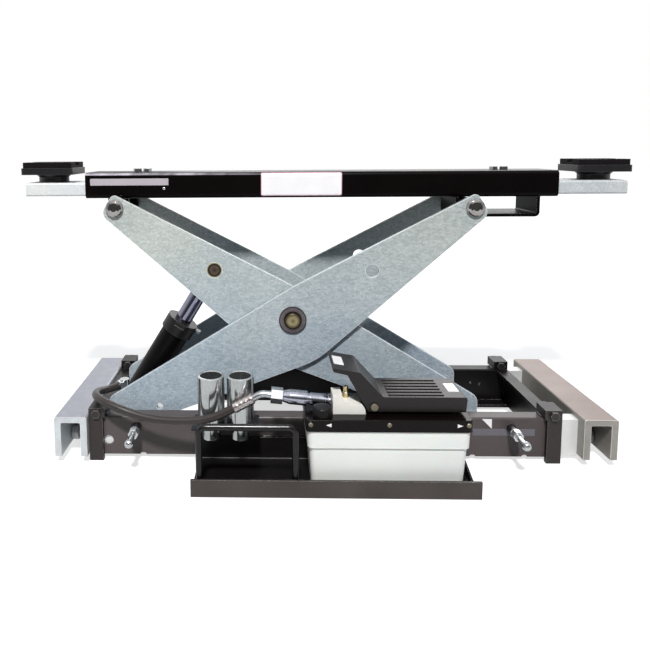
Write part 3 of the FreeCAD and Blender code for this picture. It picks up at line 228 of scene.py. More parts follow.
DEEP_BLACK = (0.0050, 0.0042, 0.0042)
PRIMER = (0.35, 0.34, 0.33)
BARE_STEEL = (0.42, 0.40, 0.38)
PALE_EDGE = grey(0.85)
CRYSTAL_DARK, CRYSTAL_PALE, CUT_ZINC = (0.30, 0.37, 0.42), (0.80, 0.86, 0.88), (0.90, 0.93, 0.95)
MILLED_EDGE = (0.92, 0.91, 0.90)

# Where tones change, in metres in the frame
FRAME_LEFT, FRAME_RIGHT = -0.45, 0.45
ARMS_LEFT, ARMS_RIGHT, ARMS_LOW, ARMS_HIGH = -0.32, 0.30, 0.20, 0.46
TANK_MIDDLE, TANK_RIGHT = 0.10, 0.23
# Heights where a channel's side tone gives way to its top tone; the two tones are painted light and shade
CHANNEL_SIDE, CHANNEL_TOP = 0.0865, 0.0880
# Where the highlight painted on the beam's upper front edge begins, and where it is at full strength
HIGHLIGHT_START, HIGHLIGHT_END = -0.10, -0.30

# Where colours change with depth, in millimetres on the Y axis of part.py, and half the width of a change
# The end plates and the tray are painted deep black behind their Y as painted shade; the housing's change is
# its two-tone finish
PLATE_SHADE_Y, TRAY_SHADE_Y, HOUSING_FACE = -141.0, -257.0, -155.0
SOFT_STEP = 1.0


def paint(name, colour, rough, worn, wear_colour=PRIMER, specular=0.5, fade=None, painted_shade_from=None, edge_highlight_colour=None):
    """Sprayed paint: faint tone changes, orange peel, fine dust, smudges in the gloss and worn edges.

    A fade tints it towards the right. Behind a given Y, in millimetres, it is painted deep black, as painted
    shade inside the jack.
    The last argument is the colour of a painted highlight along an upper front edge."""
    n = Finish(name)
    base = n.ramp(n.noise(9.0), ((0.3, tinted(colour, 0.8)), (0.7, tinted(colour, 1.2))))
    if fade:
        base = n.mix(n.along("X", FRAME_LEFT, FRAME_RIGHT), base, n.times(base, fade))
    # Painted shade: deep black behind the given Y
    if painted_shade_from is not None:
        behind = n.along("Y", place(0, painted_shade_from - SOFT_STEP, 0).y, place(0, painted_shade_from + SOFT_STEP, 0).y)
        base = n.mix(behind, base, DEEP_BLACK)
    grit = n.spots(n.noise(420.0, 2.0), 0.45, 0.62)
    chips = n.mix(worn, BLACK, n.times(n.edges(), grit))
    dust = n.spots(n.noise(900.0, 1.0), 0.70, 0.76, 0.35)
    base = n.mix(dust, base, tinted(colour, 2.2, 0.01))
    base = n.mix(chips, base, wear_colour)
    # A painted highlight along the upper front edge
    if edge_highlight_colour:
        base = n.mix(front_edge_highlight_mask(n), base, edge_highlight_colour)
    n.bump(n.noise(260.0, 3.0), 0.05, 0.0004)
    smudges = n.spread(n.noise(24.0), rough * 0.75, rough * 1.35)
    return n.set(Base_Color=base, Roughness=smudges, Specular_IOR_Level=specular)


def front_edge_highlight_mask(n):
    """1 along the upper rounded front edge of a box, where a highlight is painted, strongest at its left and
    gone at its right.
    """
    normal = n.axes(n.coords.outputs["Normal"])
    band = n.ramp(normal["Z"], ((0.30, BLACK), (0.42, WHITE), (0.80, WHITE), (0.90, BLACK)))
    front = n.between(normal["Y"], -0.20, -0.35)
    left = n.along("X", HIGHLIGHT_START, HIGHLIGHT_END)
    patches = n.ramp(n.noise(26.0, 3.0), ((0.32, grey(0.25)), (0.56, WHITE)))
    return n.times(n.times(n.times(band, front), left), patches)


def zinc_tone(n, cool, warm, light, dark):
    """Zinc plate colour: cool low down, warm near the top, with fine bright and dark speckle."""
    tone = n.mix(n.along("Z", ARMS_LOW, ARMS_HIGH), cool, warm)
    clouds = n.ramp(n.noise(9.0, 5.0), ((0.35, (0.86, 0.87, 0.88)), (0.65, WHITE)))
    sheen = n.ramp(n.noise(3.2, 2.0), ((0.36, (0.70, 0.75, 0.82)), (0.64, (1.0, 0.99, 0.95))))
    bright = n.spots(n.noise(520.0, 3.0), 0.56, 0.72, 0.8)
    deep = n.spots(n.noise(610.0, 3.0), 0.57, 0.74, 0.6)
    tone = n.times(n.times(tone, clouds), sheen)
    return n.mix(deep, n.mix(bright, tone, light), dark)


def spangled(name, cool, warm, light, dark, crystal_share, metallic, across=None):
    """Zinc spangle: soft crystals that differ in tone and gloss, with a fine speckle.

    Across gives the stops of a tone that goes from the left arm ends to the right ones."""
    n = Finish(name)
    tone = zinc_tone(n, cool, warm, light, dark)
    if across:
        tone = n.times(tone, n.ramp(n.along("X", ARMS_LEFT, ARMS_RIGHT), across))
    crystals = n.cells(150.0, (1, 1, 2.2))
    tone = n.mix(crystal_share, tone, n.ramp(crystals, ((0.2, CRYSTAL_DARK), (0.8, CRYSTAL_PALE))))
    tone = n.mix(n.edges(0.0022), tone, CUT_ZINC)
    n.bump(n.noise(420.0, 5.0), 0.10)
    return n.set(Base_Color=tone, Metallic=metallic, Roughness=n.spread(crystals, 0.36, 0.52),
                 Specular_IOR_Level=0.3)


def machined(name, colour, rough, streak=(1, 1, 30), contrast=0.25, metallic=1.0, edge=PALE_EDGE,
             edge_radius=EDGE_RADIUS):
    """Bare or plated metal with a drawn grain, fine along the streak's large axes, and small stains."""
    n = Finish(name)
    grain = n.noise(90.0, 5.0, streak)
    stain = n.noise(14.0)
    dark = tinted(colour, 1 - contrast)
    drawn = n.ramp(grain, ((0.35, dark), (0.65, colour)))
    stained = n.ramp(stain, ((0.35, dark), (0.6, colour)))
    base = n.mix(0.5, drawn, stained)
    base = n.mix(n.edges(edge_radius), base, edge)
    n.bump(grain, 0.04)
    return n.set(Base_Color=base, Metallic=metallic, Roughness=n.spread(stain, rough * 0.7, rough * 1.4))


def turned_rings(name, centre, reach, rings, rough, metallic=0.8):
    """A turned face whose colour goes by the distance from its centre, with fine tool marks."""
    n = Finish(name)
    distance = n.away(centre, (1, 0, 1), reach)
    base = n.ramp(distance, rings)
    marks = n.math("SINE", n.math("MULTIPLY", distance, 140.0))
    stains = n.ramp(n.noise(160.0, 4.0), ((0.35, grey(0.4)), (0.65, WHITE)))
    base = n.mix(0.35, base, n.times(base, stains))
    n.bump(marks, 0.25, 0.0002)
    gloss = n.spread(n.noise(60.0), rough * 0.8, rough * 1.3)
    return n.set(Base_Color=base, Metallic=metallic, Roughness=gloss)


def aluminium(name, colour, top, grime, amount):
    """Milled channel: sides and top each of one tone, as painted light and shade, with long grain, grime
    spots and pale edges.
    """
    n = Finish(name)
    grain = n.noise(60.0, 5.0, (1, 40, 1))
    base = n.mix(n.along("Z", CHANNEL_SIDE, CHANNEL_TOP), colour, top)
    base = n.times(base, n.ramp(grain, ((0.35, grey(0.86)), (0.65, WHITE))))
    base = n.mix(n.spots(n.noise(55.0, 6.0, rough=0.7), 0.50, 0.62, amount), base, grime)
    base = n.mix(n.edges(0.0016), base, MILLED_EDGE)
    n.bump(grain, 0.05)
    return n.set(Base_Color=base, Metallic=0.35, Roughness=n.spread(n.noise(20.0), 0.32, 0.55))


def moulded(name, colour, rough, specular, edge_lift=0.02):
    """Moulded plastic or rubber with a fine leathered grain."""
    n = Finish(name)
    base = n.ramp(n.noise(18.0), ((0.3, colour), (0.75, tinted(colour, 1.5))))
    base = n.mix(n.edges(), base, tinted(colour, 3, edge_lift))
    n.bump(n.noise(700.0, 2.0), 0.12)
    gloss = n.spread(n.noise(60.0), rough * 0.85, rough * 1.2)
    return n.set(Base_Color=base, Roughness=gloss, Specular_IOR_Level=specular)


def tank_plastic():
    """Translucent white polyethylene with soft clouds, a little darker at its right."""
    n = Finish("tank_plastic")
    base = n.ramp(n.noise(5.0), ((0.3, (0.78, 0.79, 0.76)), (0.7, (0.83, 0.84, 0.80))))
    base = n.mix(n.along("X", TANK_MIDDLE, TANK_RIGHT), base, n.times(base, (0.93, 0.93, 0.95)))
    n.bump(n.noise(320.0, 2.0), 0.06)
    return n.set(Base_Color=base, Roughness=n.spread(n.noise(30.0), 0.28, 0.42),
                 Subsurface_Weight=0.15, Subsurface_Scale=0.01)


def lock_housing_finish():
    """Black barrel against the rail, bright zinc hexagon in front of it."""
    n = Finish("lock_housing")
    barrel_end, hexagon_start = place(0, HOUSING_FACE + SOFT_STEP, 0), place(0, HOUSING_FACE - SOFT_STEP, 0)
    front = n.along("Y", barrel_end.y, hexagon_start.y)
    base = n.mix(front, (0.010, 0.009, 0.009), (0.66, 0.67, 0.68))
    base = n.mix(n.edges(), base, grey(0.80))
    n.bump(n.noise(200.0, 3.0), 0.06)
    return n.set(Base_Color=base, Metallic=front, Roughness=n.spread(n.noise(60.0), 0.22, 0.36))


def gland_finish():
    """Black gland nut with a bright bleed nipple on its shoulder."""
    n = Finish("gland_black")
    nipple = n.ramp(n.away(place(*NIPPLE_SPOT), EVEN, NIPPLE_REACH), ((0.86, WHITE), (0.94, BLACK)))
    black = n.ramp(n.noise(30.0), ((0.3, (0.006, 0.005, 0.005)), (0.7, (0.012, 0.010, 0.010))))
    base = n.mix(nipple, black, (0.70, 0.71, 0.72))
    base = n.mix(n.mix(0.5, BLACK, n.edges()), base, (0.30, 0.29, 0.29))
    n.bump(n.noise(260.0, 3.0), 0.05)
    return n.set(Base_Color=base, Metallic=nipple, Roughness=n.spread(n.noise(40.0), 0.26, 0.42),
                 Specular_IOR_Level=0.3)


def film(name, colour, rough=0.4):
    """Plain film or paint on a plate: even colour with slight fading and a satin gloss."""
    n = Finish(name)
    base = n.ramp(n.noise(30.0, 3.0), ((0.3, tinted(colour, 0.93)), (0.7, colour)))
    n.bump(n.noise(300.0, 2.0), 0.04, 0.0002)
    return n.set(Base_Color=base, Roughness=n.spread(n.noise(50.0), rough * 0.8, rough * 1.2))


# Places, in millimetres, of pieces whose finish goes by the distance from them, and its reach in metres
CENTRE_PIN_SPOT, CENTRE_PIN_REACH = (-52.6, -90.0, 251.05), 0.027
LIFT_PIN_SPOT, LIFT_PIN_REACH = (-201.3, -76.0, 345.2), 0.0155
NIPPLE_SPOT, NIPPLE_REACH = (-239.5, -1.6, 202.8), 0.010

# Share of the reach, and the colour there
# In BRASS_RINGS the dark ring just outside the brass is painted shade round the pin
BRASS_RINGS = (
    (0.0, (0.16, 0.13, 0.06)), (0.24, (0.46, 0.40, 0.22)), (0.44, (0.17, 0.13, 0.07)),
    (0.54, (0.03, 0.025, 0.02)), (0.62, (0.03, 0.025, 0.025)), (0.66, (0.15, 0.13, 0.135)),
    (0.86, (0.19, 0.165, 0.175)), (0.94, (0.03, 0.025, 0.03)),
)
CAP_RINGS = (
    (0.0, (0.04, 0.028, 0.022)), (0.45, (0.13, 0.095, 0.065)), (0.70, (0.035, 0.025, 0.02)),
    (0.80, (0.03, 0.02, 0.015)), (0.88, (0.50, 0.46, 0.28)), (0.98, (0.62, 0.60, 0.42)),
)
# Share of the way from the left arm ends to the right ones, and the tone there
ARM_SHADE = ((0.0, WHITE), (0.5, (0.85, 0.85, 0.86)), (1.0, (0.77, 0.78, 0.80)))


def black_paints():
    """Paints, most with colour, roughness, wear, colour of the wear and gloss."""
    return {
        # The beam carries a painted highlight along its upper front edge
        "beam_black": paint("beam_black", (0.0030, 0.0022, 0.0022), 0.30, 0.55, (0.42, 0.38, 0.44), 0.06,
                            edge_highlight_colour=(0.50, 0.46, 0.52)),
        "rear_black": paint("rear_black", DEEP_BLACK, 0.30, 0.8, (0.46, 0.42, 0.46), 0.2),
        # The inner parts of the end plates and the tray are painted deep black as painted shade
        "plate_black": paint("plate_black", (0.034, 0.027, 0.025), 0.34, 0.8, BARE_STEEL, 0.3,
                             painted_shade_from=PLATE_SHADE_Y),
        "tray_black": paint("tray_black", (0.058, 0.048, 0.043), 0.34, 0.8, BARE_STEEL, 0.3,
                            painted_shade_from=TRAY_SHADE_Y),
        "frame_black": paint("frame_black", (0.088, 0.074, 0.073), 0.34, 0.8, BARE_STEEL, 0.3,
                             fade=(0.74, 0.70, 0.72)),
        "loop_black": paint("loop_black", (0.005, 0.004, 0.004), 0.22, 0.25, specular=0.4),
        "barrel_black": paint("barrel_black", (0.0030, 0.0024, 0.0028), 0.30, 0.5, specular=0.10),
        "gland": gland_finish(),
        "lock_housing": lock_housing_finish(),
    }


def zinc_plates():
    """Plates, each with its cool, warm, light and dark tones, its share of crystals and its metal share."""
    return {
        "galvanised": spangled("galvanised_plate", (0.450, 0.520, 0.570), (0.540, 0.555, 0.490),
                               (0.84, 0.86, 0.82), (0.17, 0.20, 0.22), 0.20, 0.08, ARM_SHADE),
        "arm_left": spangled("arm_zinc_left", (0.84, 0.84, 0.82), (0.84, 0.84, 0.82), (0.95, 0.95, 0.94),
                             (0.40, 0.39, 0.38), 0.06, 0.1),
        "arm_right": spangled("arm_zinc_right", (0.76, 0.74, 0.69), (0.76, 0.74, 0.69), (0.88, 0.87, 0.84),
                              (0.28, 0.27, 0.24), 0.08, 0.1),
    }


def machined_metals():
    """Metals, most with colour, roughness, grain, contrast, metal share, edge colour and edge radius."""
    return {
        "centre_pin": turned_rings("centre_pin_rings", place(*CENTRE_PIN_SPOT), CENTRE_PIN_REACH, BRASS_RINGS,
                                   0.30),
        "lift_caps": turned_rings("lift_cap_rings", place(*LIFT_PIN_SPOT), LIFT_PIN_REACH, CAP_RINGS, 0.38,
                                  0.6),
        "bolt_dark": machined("bolt_dark", (0.055, 0.050, 0.050), 0.32, EVEN, 0.3, 0.7, (0.40, 0.38, 0.38)),
        "zinc": machined("bright_zinc", (0.62, 0.64, 0.66), 0.22),
        "domed_steel": machined("domed_steel", (0.46, 0.44, 0.43), 0.09, EVEN, 0.4, edge=(0.6, 0.58, 0.57)),
        "roller_steel": machined("roller_steel", (0.40, 0.40, 0.41), 0.32),
        "chrome": machined("chrome", (0.27, 0.27, 0.36), 0.06, contrast=0.12, edge=(0.4, 0.4, 0.45)),
        "adapter_zinc": machined("adapter_zinc", (0.56, 0.58, 0.58), 0.12, (6, 6, 1), 0.30, 0.92,
                                 (0.97, 0.98, 0.98), 0.0026),
        # The channels are lit and shaded copies of one aluminium: the right one's darker tones are painted
        # shade, and each top's own tone is painted for how light falls on it
        "channel_left": aluminium("channel_left", (0.70, 0.74, 0.76), (0.36, 0.37, 0.42),
                                  (0.52, 0.48, 0.50), 0.25),
        "channel_right": aluminium("channel_right", (0.34, 0.32, 0.29), (0.295, 0.235, 0.215),
                                   (0.24, 0.22, 0.18), 0.25),
        "slide_steel": machined("slide_zinc", (0.80, 0.80, 0.79), 0.35, (30, 1, 1), 0.12, 0.3),
        "cast_block": machined("cast_block", (0.84, 0.81, 0.75), 0.45, EVEN, 0.10, 0.05),
        "brass": machined("brass", (0.62, 0.52, 0.26), 0.25),
        "screw_steel": machined("screw_steel", (0.24, 0.21, 0.15), 0.38, EVEN, 0.4, 0.7, (0.34, 0.31, 0.24)),
        "coupler_metal": machined("coupler_steel", (0.58, 0.60, 0.70), 0.18, (30, 1, 1), 0.5),
        "ferrule_steel": machined("ferrule_steel", (0.70, 0.62, 0.62), 0.24, EVEN, 0.3),
    }


def plastics_and_films():
    """Plastics and rubbers, most with colour, roughness, gloss and edge lift, and films with colour."""
    return {
        "pad_iron": moulded("pad_iron", (0.010, 0.009, 0.010), 0.30, 0.5),
        "pad_rubber": moulded("pad_rubber", (0.0065, 0.0052, 0.0060), 0.55, 0.07, 0.008),
        "tank_plastic": tank_plastic(),
        "lid_plastic": moulded("lid_plastic", (0.0030, 0.0018, 0.0016), 0.20, 0.16, 0.004),
        "treadle_plastic": moulded("treadle_plastic", (0.0055, 0.0030, 0.0032), 0.33, 0.42, 0.008),
        "cap_plastic": moulded("cap_plastic", (0.0045, 0.0035, 0.0035), 0.30, 0.2, 0.01),
        "hose_rubber": moulded("hose_rubber", (0.026, 0.021, 0.020), 0.38, 0.45),
        "white_film": film("white_film", (0.86, 0.84, 0.85)),
        "pink_film": film("pink_film", (0.62, 0.26, 0.36)),
        "grey_film": film("grey_film", (0.45, 0.41, 0.44)),
        "dark_film": film("dark_film", (0.125, 0.118, 0.135)),
    }


# Nodes that take a finish of their own within a material slot
OWN_FINISH = {
    "rail_front": "frame_black", "rail_rear": "rear_black", "corner_bolts": "bolt_dark",
    "end_plate_left": "plate_black", "end_plate_right": "plate_black",
    "tray": "tray_black", "adapter_shelf": "loop_black", "handle_loop": "loop_black",
    "cylinder_barrel": "barrel_black", "cylinder_gland": "gland", "lock_housings": "lock_housing",
    "centre_pin": "centre_pin", "lift_pin_caps": "lift_caps",
    "top_roller_shaft": "domed_steel", "beam_shaft": "domed_steel",
    "adapter_left": "adapter_zinc", "adapter_right": "adapter_zinc",
    "channel_left": "channel_left", "channel_right": "channel_right",
    "extension_arm_left": "arm_left", "extension_arm_right": "arm_right",
    "hose_ferrule": "ferrule_steel", "lid_screws": "screw_steel", "treadle_bolt": "screw_steel",
}


def dress_nodes(materials):
    """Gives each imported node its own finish, or else that of its slot."""
    for row in frame["record"]["subparts"]:
        slot = row["material_slot"]
        finish = OWN_FINISH.get(row["node"], "beam_black" if slot == "black_gloss" else slot)
        mesh = frame["nodes"][row["node"]].data
        mesh.materials.clear()
        mesh.materials.append(materials[finish])


# Hose, a smooth spline along the tube's route

HOSE_DIAMETER = 0.0146
HOSE_ORDER, HOSE_STEPS, HOSE_ROUNDNESS = 3, 16, 8
HOSE_ROUTE = (
    (-157.71, -201.5, 129.33), (-179.68, -201.5, 117.41), (-203.87, -199.49, 107.62),
    (-235.87, -194.94, 101.64), (-273.09, -187.97, 98.39), (-308.89, -181.01, 98.91),
    (-342.08, -172.97, 104.16), (-370.06, -167.22, 112.03), (-396.37, -157.57, 118.55),
    (-414.63, -140.43, 120.02), (-425.29, -117.66, 117.5), (-426.24, -92.62, 112.03),
    (-416.76, -67.58, 105.0), (-399.08, -49.9, 105.0),
)


def make_hose(materials):
    curve = bpy.data.curves.new("hose_line", "CURVE")
    curve.dimensions = "3D"
    curve.bevel_depth = HOSE_DIAMETER / 2
    curve.bevel_resolution = HOSE_ROUNDNESS
    curve.use_fill_caps = True
    spline = curve.splines.new("NURBS")
    spline.points.add(len(HOSE_ROUTE) - 1)
    for point, spot in zip(spline.points, HOSE_ROUTE):
        point.co = (*place(*spot), 1)
    spline.order_u = HOSE_ORDER
    spline.use_endpoint_u = True
    spline.resolution_u = HOSE_STEPS
    hose = bpy.data.objects.new("hose_line", curve)
    bpy.context.scene.collection.objects.link(hose)
    curve.materials.append(materials["hose_rubber"])
    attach(hose, "base")
    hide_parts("hose")


# Mesh helpers

# How far a plate or the rivet reaches into what carries it, in millimetres
SEAT = 0.2


def add_piece(name, bm, material, body):
    mesh = bpy.data.meshes.new(name)
    bmesh.ops.recalc_face_normals(bm, faces=bm.faces)
    bm.to_mesh(mesh)
    bm.free()
    piece = bpy.data.objects.new(name, mesh)
    bpy.context.scene.collection.objects.link(piece)
    mesh.materials.append(material)
    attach(piece, body)
    return piece


def stack_rings(rings):
    """Joins closed rings, all with the same number of points, into a tube with both ends closed."""
    bm = bmesh.new()
    made = [[bm.verts.new(spot) for spot in ring] for ring in rings]
    count = len(made[0])
    for low, high in zip(made, made[1:]):
        for i in range(count):
            bm.faces.new((low[i], low[(i + 1) % count], high[(i + 1) % count], high[i]))
    bm.faces.new(made[0][::-1])
    bm.faces.new(made[-1])
    return bm


def round_turns(count):
    """The angles of a full turn in equal steps."""
    return [2 * math.pi * k / count for k in range(count)]


def round_rectangle(width, height, radius, steps=4):
    """Corner points, anticlockwise, of a rectangle round the middle with rounded corners."""
    points = []
    for quarter, (sx, sy) in enumerate(((1, 1), (-1, 1), (-1, -1), (1, -1))):
        for step in range(steps + 1):
            turn = math.pi / 2 * (quarter + step / steps)
            points.append((sx * (width / 2 - radius) + radius * math.cos(turn),
                           sy * (height / 2 - radius) + radius * math.sin(turn)))
    return points


# Plates, marks and film that lie on a face, in millimetres

FRONT = (Vector((1, 0, 0)), Vector((0, 0, 1)))
UPWARD = (Vector((1, 0, 0)), Vector((0, 1, 0)))
FILM, BAND = 0.4, 0.3
# The bevelled rim of a plate, and how far its outline draws in there
PLATE_RIM, RIM_SHRINK = 0.15, 0.985

BEAM_FRONT, BEAM_CORNER, BEAM_BOTTOM, BEAM_TOP = -50.0, 8.0, 480.8, 530.8
# Low and high X, low and high Z, and thickness
WHITE_PLATE_RIM = (-112.0, 43.0, 484.4, 529.4, 0.30)
WHITE_PLATE = (-110.9, 41.9, 485.5, 528.3, 0.45)
WRAP_STEPS, WRAP_CORNER = 20, 2.0
STRIP_SIZE, STRIP_SPOT = (152.0, 13.2, 1.0), (-366.0, BEAM_FRONT, 512.6)
RIVET_SPOT, RIVET_RADIUS, RIVET_HEIGHT = (-298.9, BEAM_FRONT, 499.9), 3.0, 1.6

TREADLE_RUN, TREADLE_DROP = 0.985, 0.17
TOE_SIZE, TOE_SPOT = (17.5, 40.0, 1.5), (21.2, -183.5, 208.12)
HEEL_SIZE, HEEL_SPOT = (18.5, 36.0, 1.5), (216.8, -185.0, 160.5)

LID_FRONT, LID_MARKS_Z = -249.0, 121.5
LEFT_ARROW, LEFT_ARROW_X = ((-5.0, 0.0), (4.0, -3.2), (4.0, 3.2)), 0.5
RIGHT_ARROW, RIGHT_ARROW_X = ((5.0, 0.0), (-4.0, 3.2), (-4.0, -3.2)), 214.0
RAIL_END, RAIL_FACE, RAIL_TOP, RAIL_FOOT = 425.98, 135.0, 82.0, 7.0
POINTER, POINTER_SPOT = ((-9.0, 9.0), (9.0, -9.0), (9.0, 9.0)), (300.0, -RAIL_FACE, 71.0)
BAND_SIZE, BAND_SPOT = (113.0, 13.0, 1.0), (331.0, -RAIL_FACE, 55.0)


def face_plate(name, outline, origin, plane, thickness, material, body):
    """A thin plate on a face: its outline lies on the plane's two directions from the origin."""
    across, up = plane
    normal = across.cross(up)
    rim = min(PLATE_RIM, thickness / 2)
    rings = []
    for depth, shrink in ((-SEAT, 1.0), (thickness - rim, 1.0), (thickness, RIM_SHRINK)):
        rings.append([place(*(Vector(origin) + (across * u + up * v) * shrink + normal * depth))
                      for u, v in outline])
    add_piece(name, stack_rings(rings), material, body)


def wrapped_plate(name, x_low, x_high, z_low, z_high, thickness, material):
    """A film on the beam's front that follows its rounded edges, with rounded corners of its own."""

    def depth(z):
        off = max(BEAM_BOTTOM + BEAM_CORNER - z, z - (BEAM_TOP - BEAM_CORNER), 0.0)
        return BEAM_CORNER - math.sqrt(max(BEAM_CORNER * BEAM_CORNER - off * off, 0.0))

    rings = []
    for i in range(WRAP_STEPS + 1):
        z = z_low + (z_high - z_low) * i / WRAP_STEPS
        short = max(WRAP_CORNER - min(z - z_low, z_high - z), 0.0)
        inset = WRAP_CORNER - math.sqrt(max(WRAP_CORNER ** 2 - short ** 2, 0.0))
        out, into = BEAM_FRONT + depth(z) - thickness, BEAM_FRONT + depth(z) + SEAT
        rings.append([place(x_low + inset, out, z), place(x_high - inset, out, z),
                      place(x_high - inset, into, z), place(x_low + inset, into, z)])
    add_piece(name, stack_rings(rings), material, "beam")


def make_beam_film(materials):
    """Bare plate and bare strip where the photographed beam carries words."""
    wrapped_plate("beam_plate_rim", *WHITE_PLATE_RIM, materials["pink_film"])
    wrapped_plate("beam_plate", *WHITE_PLATE, materials["white_film"])
    face_plate("beam_strip", round_rectangle(*STRIP_SIZE), STRIP_SPOT, FRONT, FILM, materials["grey_film"],
               "beam")


def make_treadle_film(materials):
    """White squares on the treadle's toe and heel."""
    slope = math.atan2(TREADLE_DROP, TREADLE_RUN)
    toe = (Vector((math.cos(slope), 0, -math.sin(slope))), Vector((0, 1, 0)))
    white = materials["white_film"]
    face_plate("treadle_toe_square", round_rectangle(*TOE_SIZE), TOE_SPOT, toe, FILM, white, "treadle")
    face_plate("treadle_heel_square", round_rectangle(*HEEL_SIZE), HEEL_SPOT, UPWARD, FILM, white, "treadle")


def make_arrows(materials):
    """Plain arrows on the lid's front edge and a plain pointer over a bare band on the front rail."""
    white = materials["white_film"]
    for side, outline, x in (("left", LEFT_ARROW, LEFT_ARROW_X), ("right", RIGHT_ARROW, RIGHT_ARROW_X)):
        face_plate(f"lid_arrow_{side}", outline, (x, LID_FRONT, LID_MARKS_Z), FRONT, FILM, white, "base")
    face_plate("rail_pointer", POINTER, POINTER_SPOT, FRONT, FILM, white, "base")
    face_plate("rail_band", round_rectangle(*BAND_SIZE), BAND_SPOT, FRONT, BAND, materials["dark_film"],
               "base")


def make_rivet(materials):
    """A low domed rivet head under the beam's bare strip."""
    steps, sides = 8, 20
    x, y, z = RIVET_SPOT
    rings = []
    for i in range(steps):
        turn = math.pi / 2 * i / steps
        reach, out = RIVET_RADIUS * math.cos(turn), RIVET_HEIGHT * math.sin(turn)
        depth = y - out + (SEAT if i == 0 else 0)
        rings.append([place(x + reach * math.cos(a), depth, z + reach * math.sin(a))
                      for a in round_turns(sides)])
    rivet = add_piece("beam_rivet", stack_rings(rings), materials["zinc"], "beam")
    rivet.data.shade_smooth()


# Weld beads, in millimetres

BEAD_SIDES, RIPPLE_PITCH, RINGS_PER_RIPPLE, LEAST_RINGS = 10, 3.4, 4, 8
# How much a ripple swells, how much the swell wanders and how fast
RIPPLE, WANDER, WANDER_RATE = 0.16, 0.07, 1.7
# The share of the radius at an open end, and the rings over which it grows to the full one
END_SHARE, END_RINGS = 0.35, 3
END_WELD_IN, END_WELD_OUT, END_WELD_MARGIN, END_WELD_RADIUS = 0.8, 0.4, 4, 2.2
LUG_WELD_IN, LUG_WELD_NEAR, LUG_WELD_FAR, LUG_WELD_UP, LUG_WELD_RADIUS = 24.4, 3, 27, 0.5, 2.0
TRAY_WELD_STARTS, TRAY_WELD_LENGTH = (-222.0, -168.0, -114.0, -60.0), 26.0
TRAY_WELD_Y, TRAY_WELD_Z, TRAY_WELD_RADIUS = -135.6, 45.2, 1.9
LOOP_FEET, LOOP_WELD_Y, LOOP_WELD_Z = (("left", -215.3), ("right", -54.7)), -247.3, 4.6
LOOP_WELD_REACH, LOOP_WELD_RADIUS, LOOP_WELD_POINTS = 6.2, 1.5, 16
STRAP_ENDS, STRAP_HALF_DEPTH = (("left", 258.9), ("right", 418.9)), 46.0
STRAP_WELD_Z, STRAP_WELD_RADIUS = 480.2, 2.0


def bead(name, path, radius, materials, body, closed=False):
    """A weld bead along a path: overlapping ripples on a round section."""
    spots = [Vector(p) for p in path]
    if closed:
        spots.append(spots[0])
    runs = [(b - a).length for a, b in zip(spots, spots[1:])]
    total = sum(runs)
    count = max(LEAST_RINGS, round(total / RIPPLE_PITCH) * RINGS_PER_RIPPLE)

    def at(distance):
        for run, a, b in zip(runs, spots, spots[1:]):
            if distance <= run:
                return a.lerp(b, distance / run), (b - a).normalized()
            distance -= run
        return spots[-1], (spots[-1] - spots[-2]).normalized()

    rings = []
    for i in range(count + 1):
        middle, ahead = at(total * i / count)
        side = ahead.orthogonal().normalized()
        up = ahead.cross(side)
        swell = RIPPLE * abs(math.sin(math.pi * i / RINGS_PER_RIPPLE))
        ripple = 1.0 + swell + WANDER * math.sin(WANDER_RATE * i)
        grown = min(1.0, END_SHARE + (1 - END_SHARE) * min(i, count - i) / END_RINGS)
        reach = radius * ripple * (1.0 if closed else grown)
        rings.append([place(*(middle + (side * math.cos(a) + up * math.sin(a)) * reach))
                      for a in round_turns(BEAD_SIDES)])
    piece = add_piece(name, stack_rings(rings), materials["loop_black"], body)
    piece.data.shade_smooth()


def make_rail_welds(materials):
    """Where the rails meet the end plates and their lugs."""
    for side, sign in (("left", -1), ("right", 1)):
        for row, depth_sign in (("front", -1), ("rear", 1)):
            x, y = sign * (RAIL_END - END_WELD_IN), depth_sign * (RAIL_FACE + END_WELD_OUT)
            bead(f"weld_{side}_{row}_end", [(x, y, RAIL_FOOT + END_WELD_MARGIN),
                                            (x, y, RAIL_TOP - END_WELD_MARGIN)],
                 END_WELD_RADIUS, materials, "base")
            x, z = sign * (RAIL_END - LUG_WELD_IN), RAIL_TOP + LUG_WELD_UP
            bead(f"weld_{side}_{row}_lug", [(x, depth_sign * (RAIL_FACE - LUG_WELD_NEAR), z),
                                            (x, depth_sign * (RAIL_FACE - LUG_WELD_FAR), z)],
                 LUG_WELD_RADIUS, materials, "base")


def make_welds(materials):
    make_rail_welds(materials)
    for i, x in enumerate(TRAY_WELD_STARTS):
        bead(f"weld_tray_{i + 1}", [(x, TRAY_WELD_Y, TRAY_WELD_Z),
                                    (x + TRAY_WELD_LENGTH, TRAY_WELD_Y, TRAY_WELD_Z)],
             TRAY_WELD_RADIUS, materials, "base")
    for side, x in LOOP_FEET:
        ring = [(x + LOOP_WELD_REACH * math.cos(a), LOOP_WELD_Y + LOOP_WELD_REACH * math.sin(a), LOOP_WELD_Z)
                for a in round_turns(LOOP_WELD_POINTS)]
        bead(f"weld_loop_{side}", ring, LOOP_WELD_RADIUS, materials, "base", closed=True)
    for side, x in STRAP_ENDS:
        bead(f"weld_strap_{side}", [(x, -STRAP_HALF_DEPTH, STRAP_WELD_Z),
                                    (x, STRAP_HALF_DEPTH, STRAP_WELD_Z)],
             STRAP_WELD_RADIUS, materials, "beam")


# Stage

FLOOR_FRONT, FLOOR_HALF, FLOOR_DROP = -1.7, 12.0, 0.0005
FLOOR_GREY = grey(0.58)
FLOOR_GLOW_NEAR, FLOOR_GLOW_FAR, FLOOR_GLOW_REACH = 0.60, 1.0, 3.0
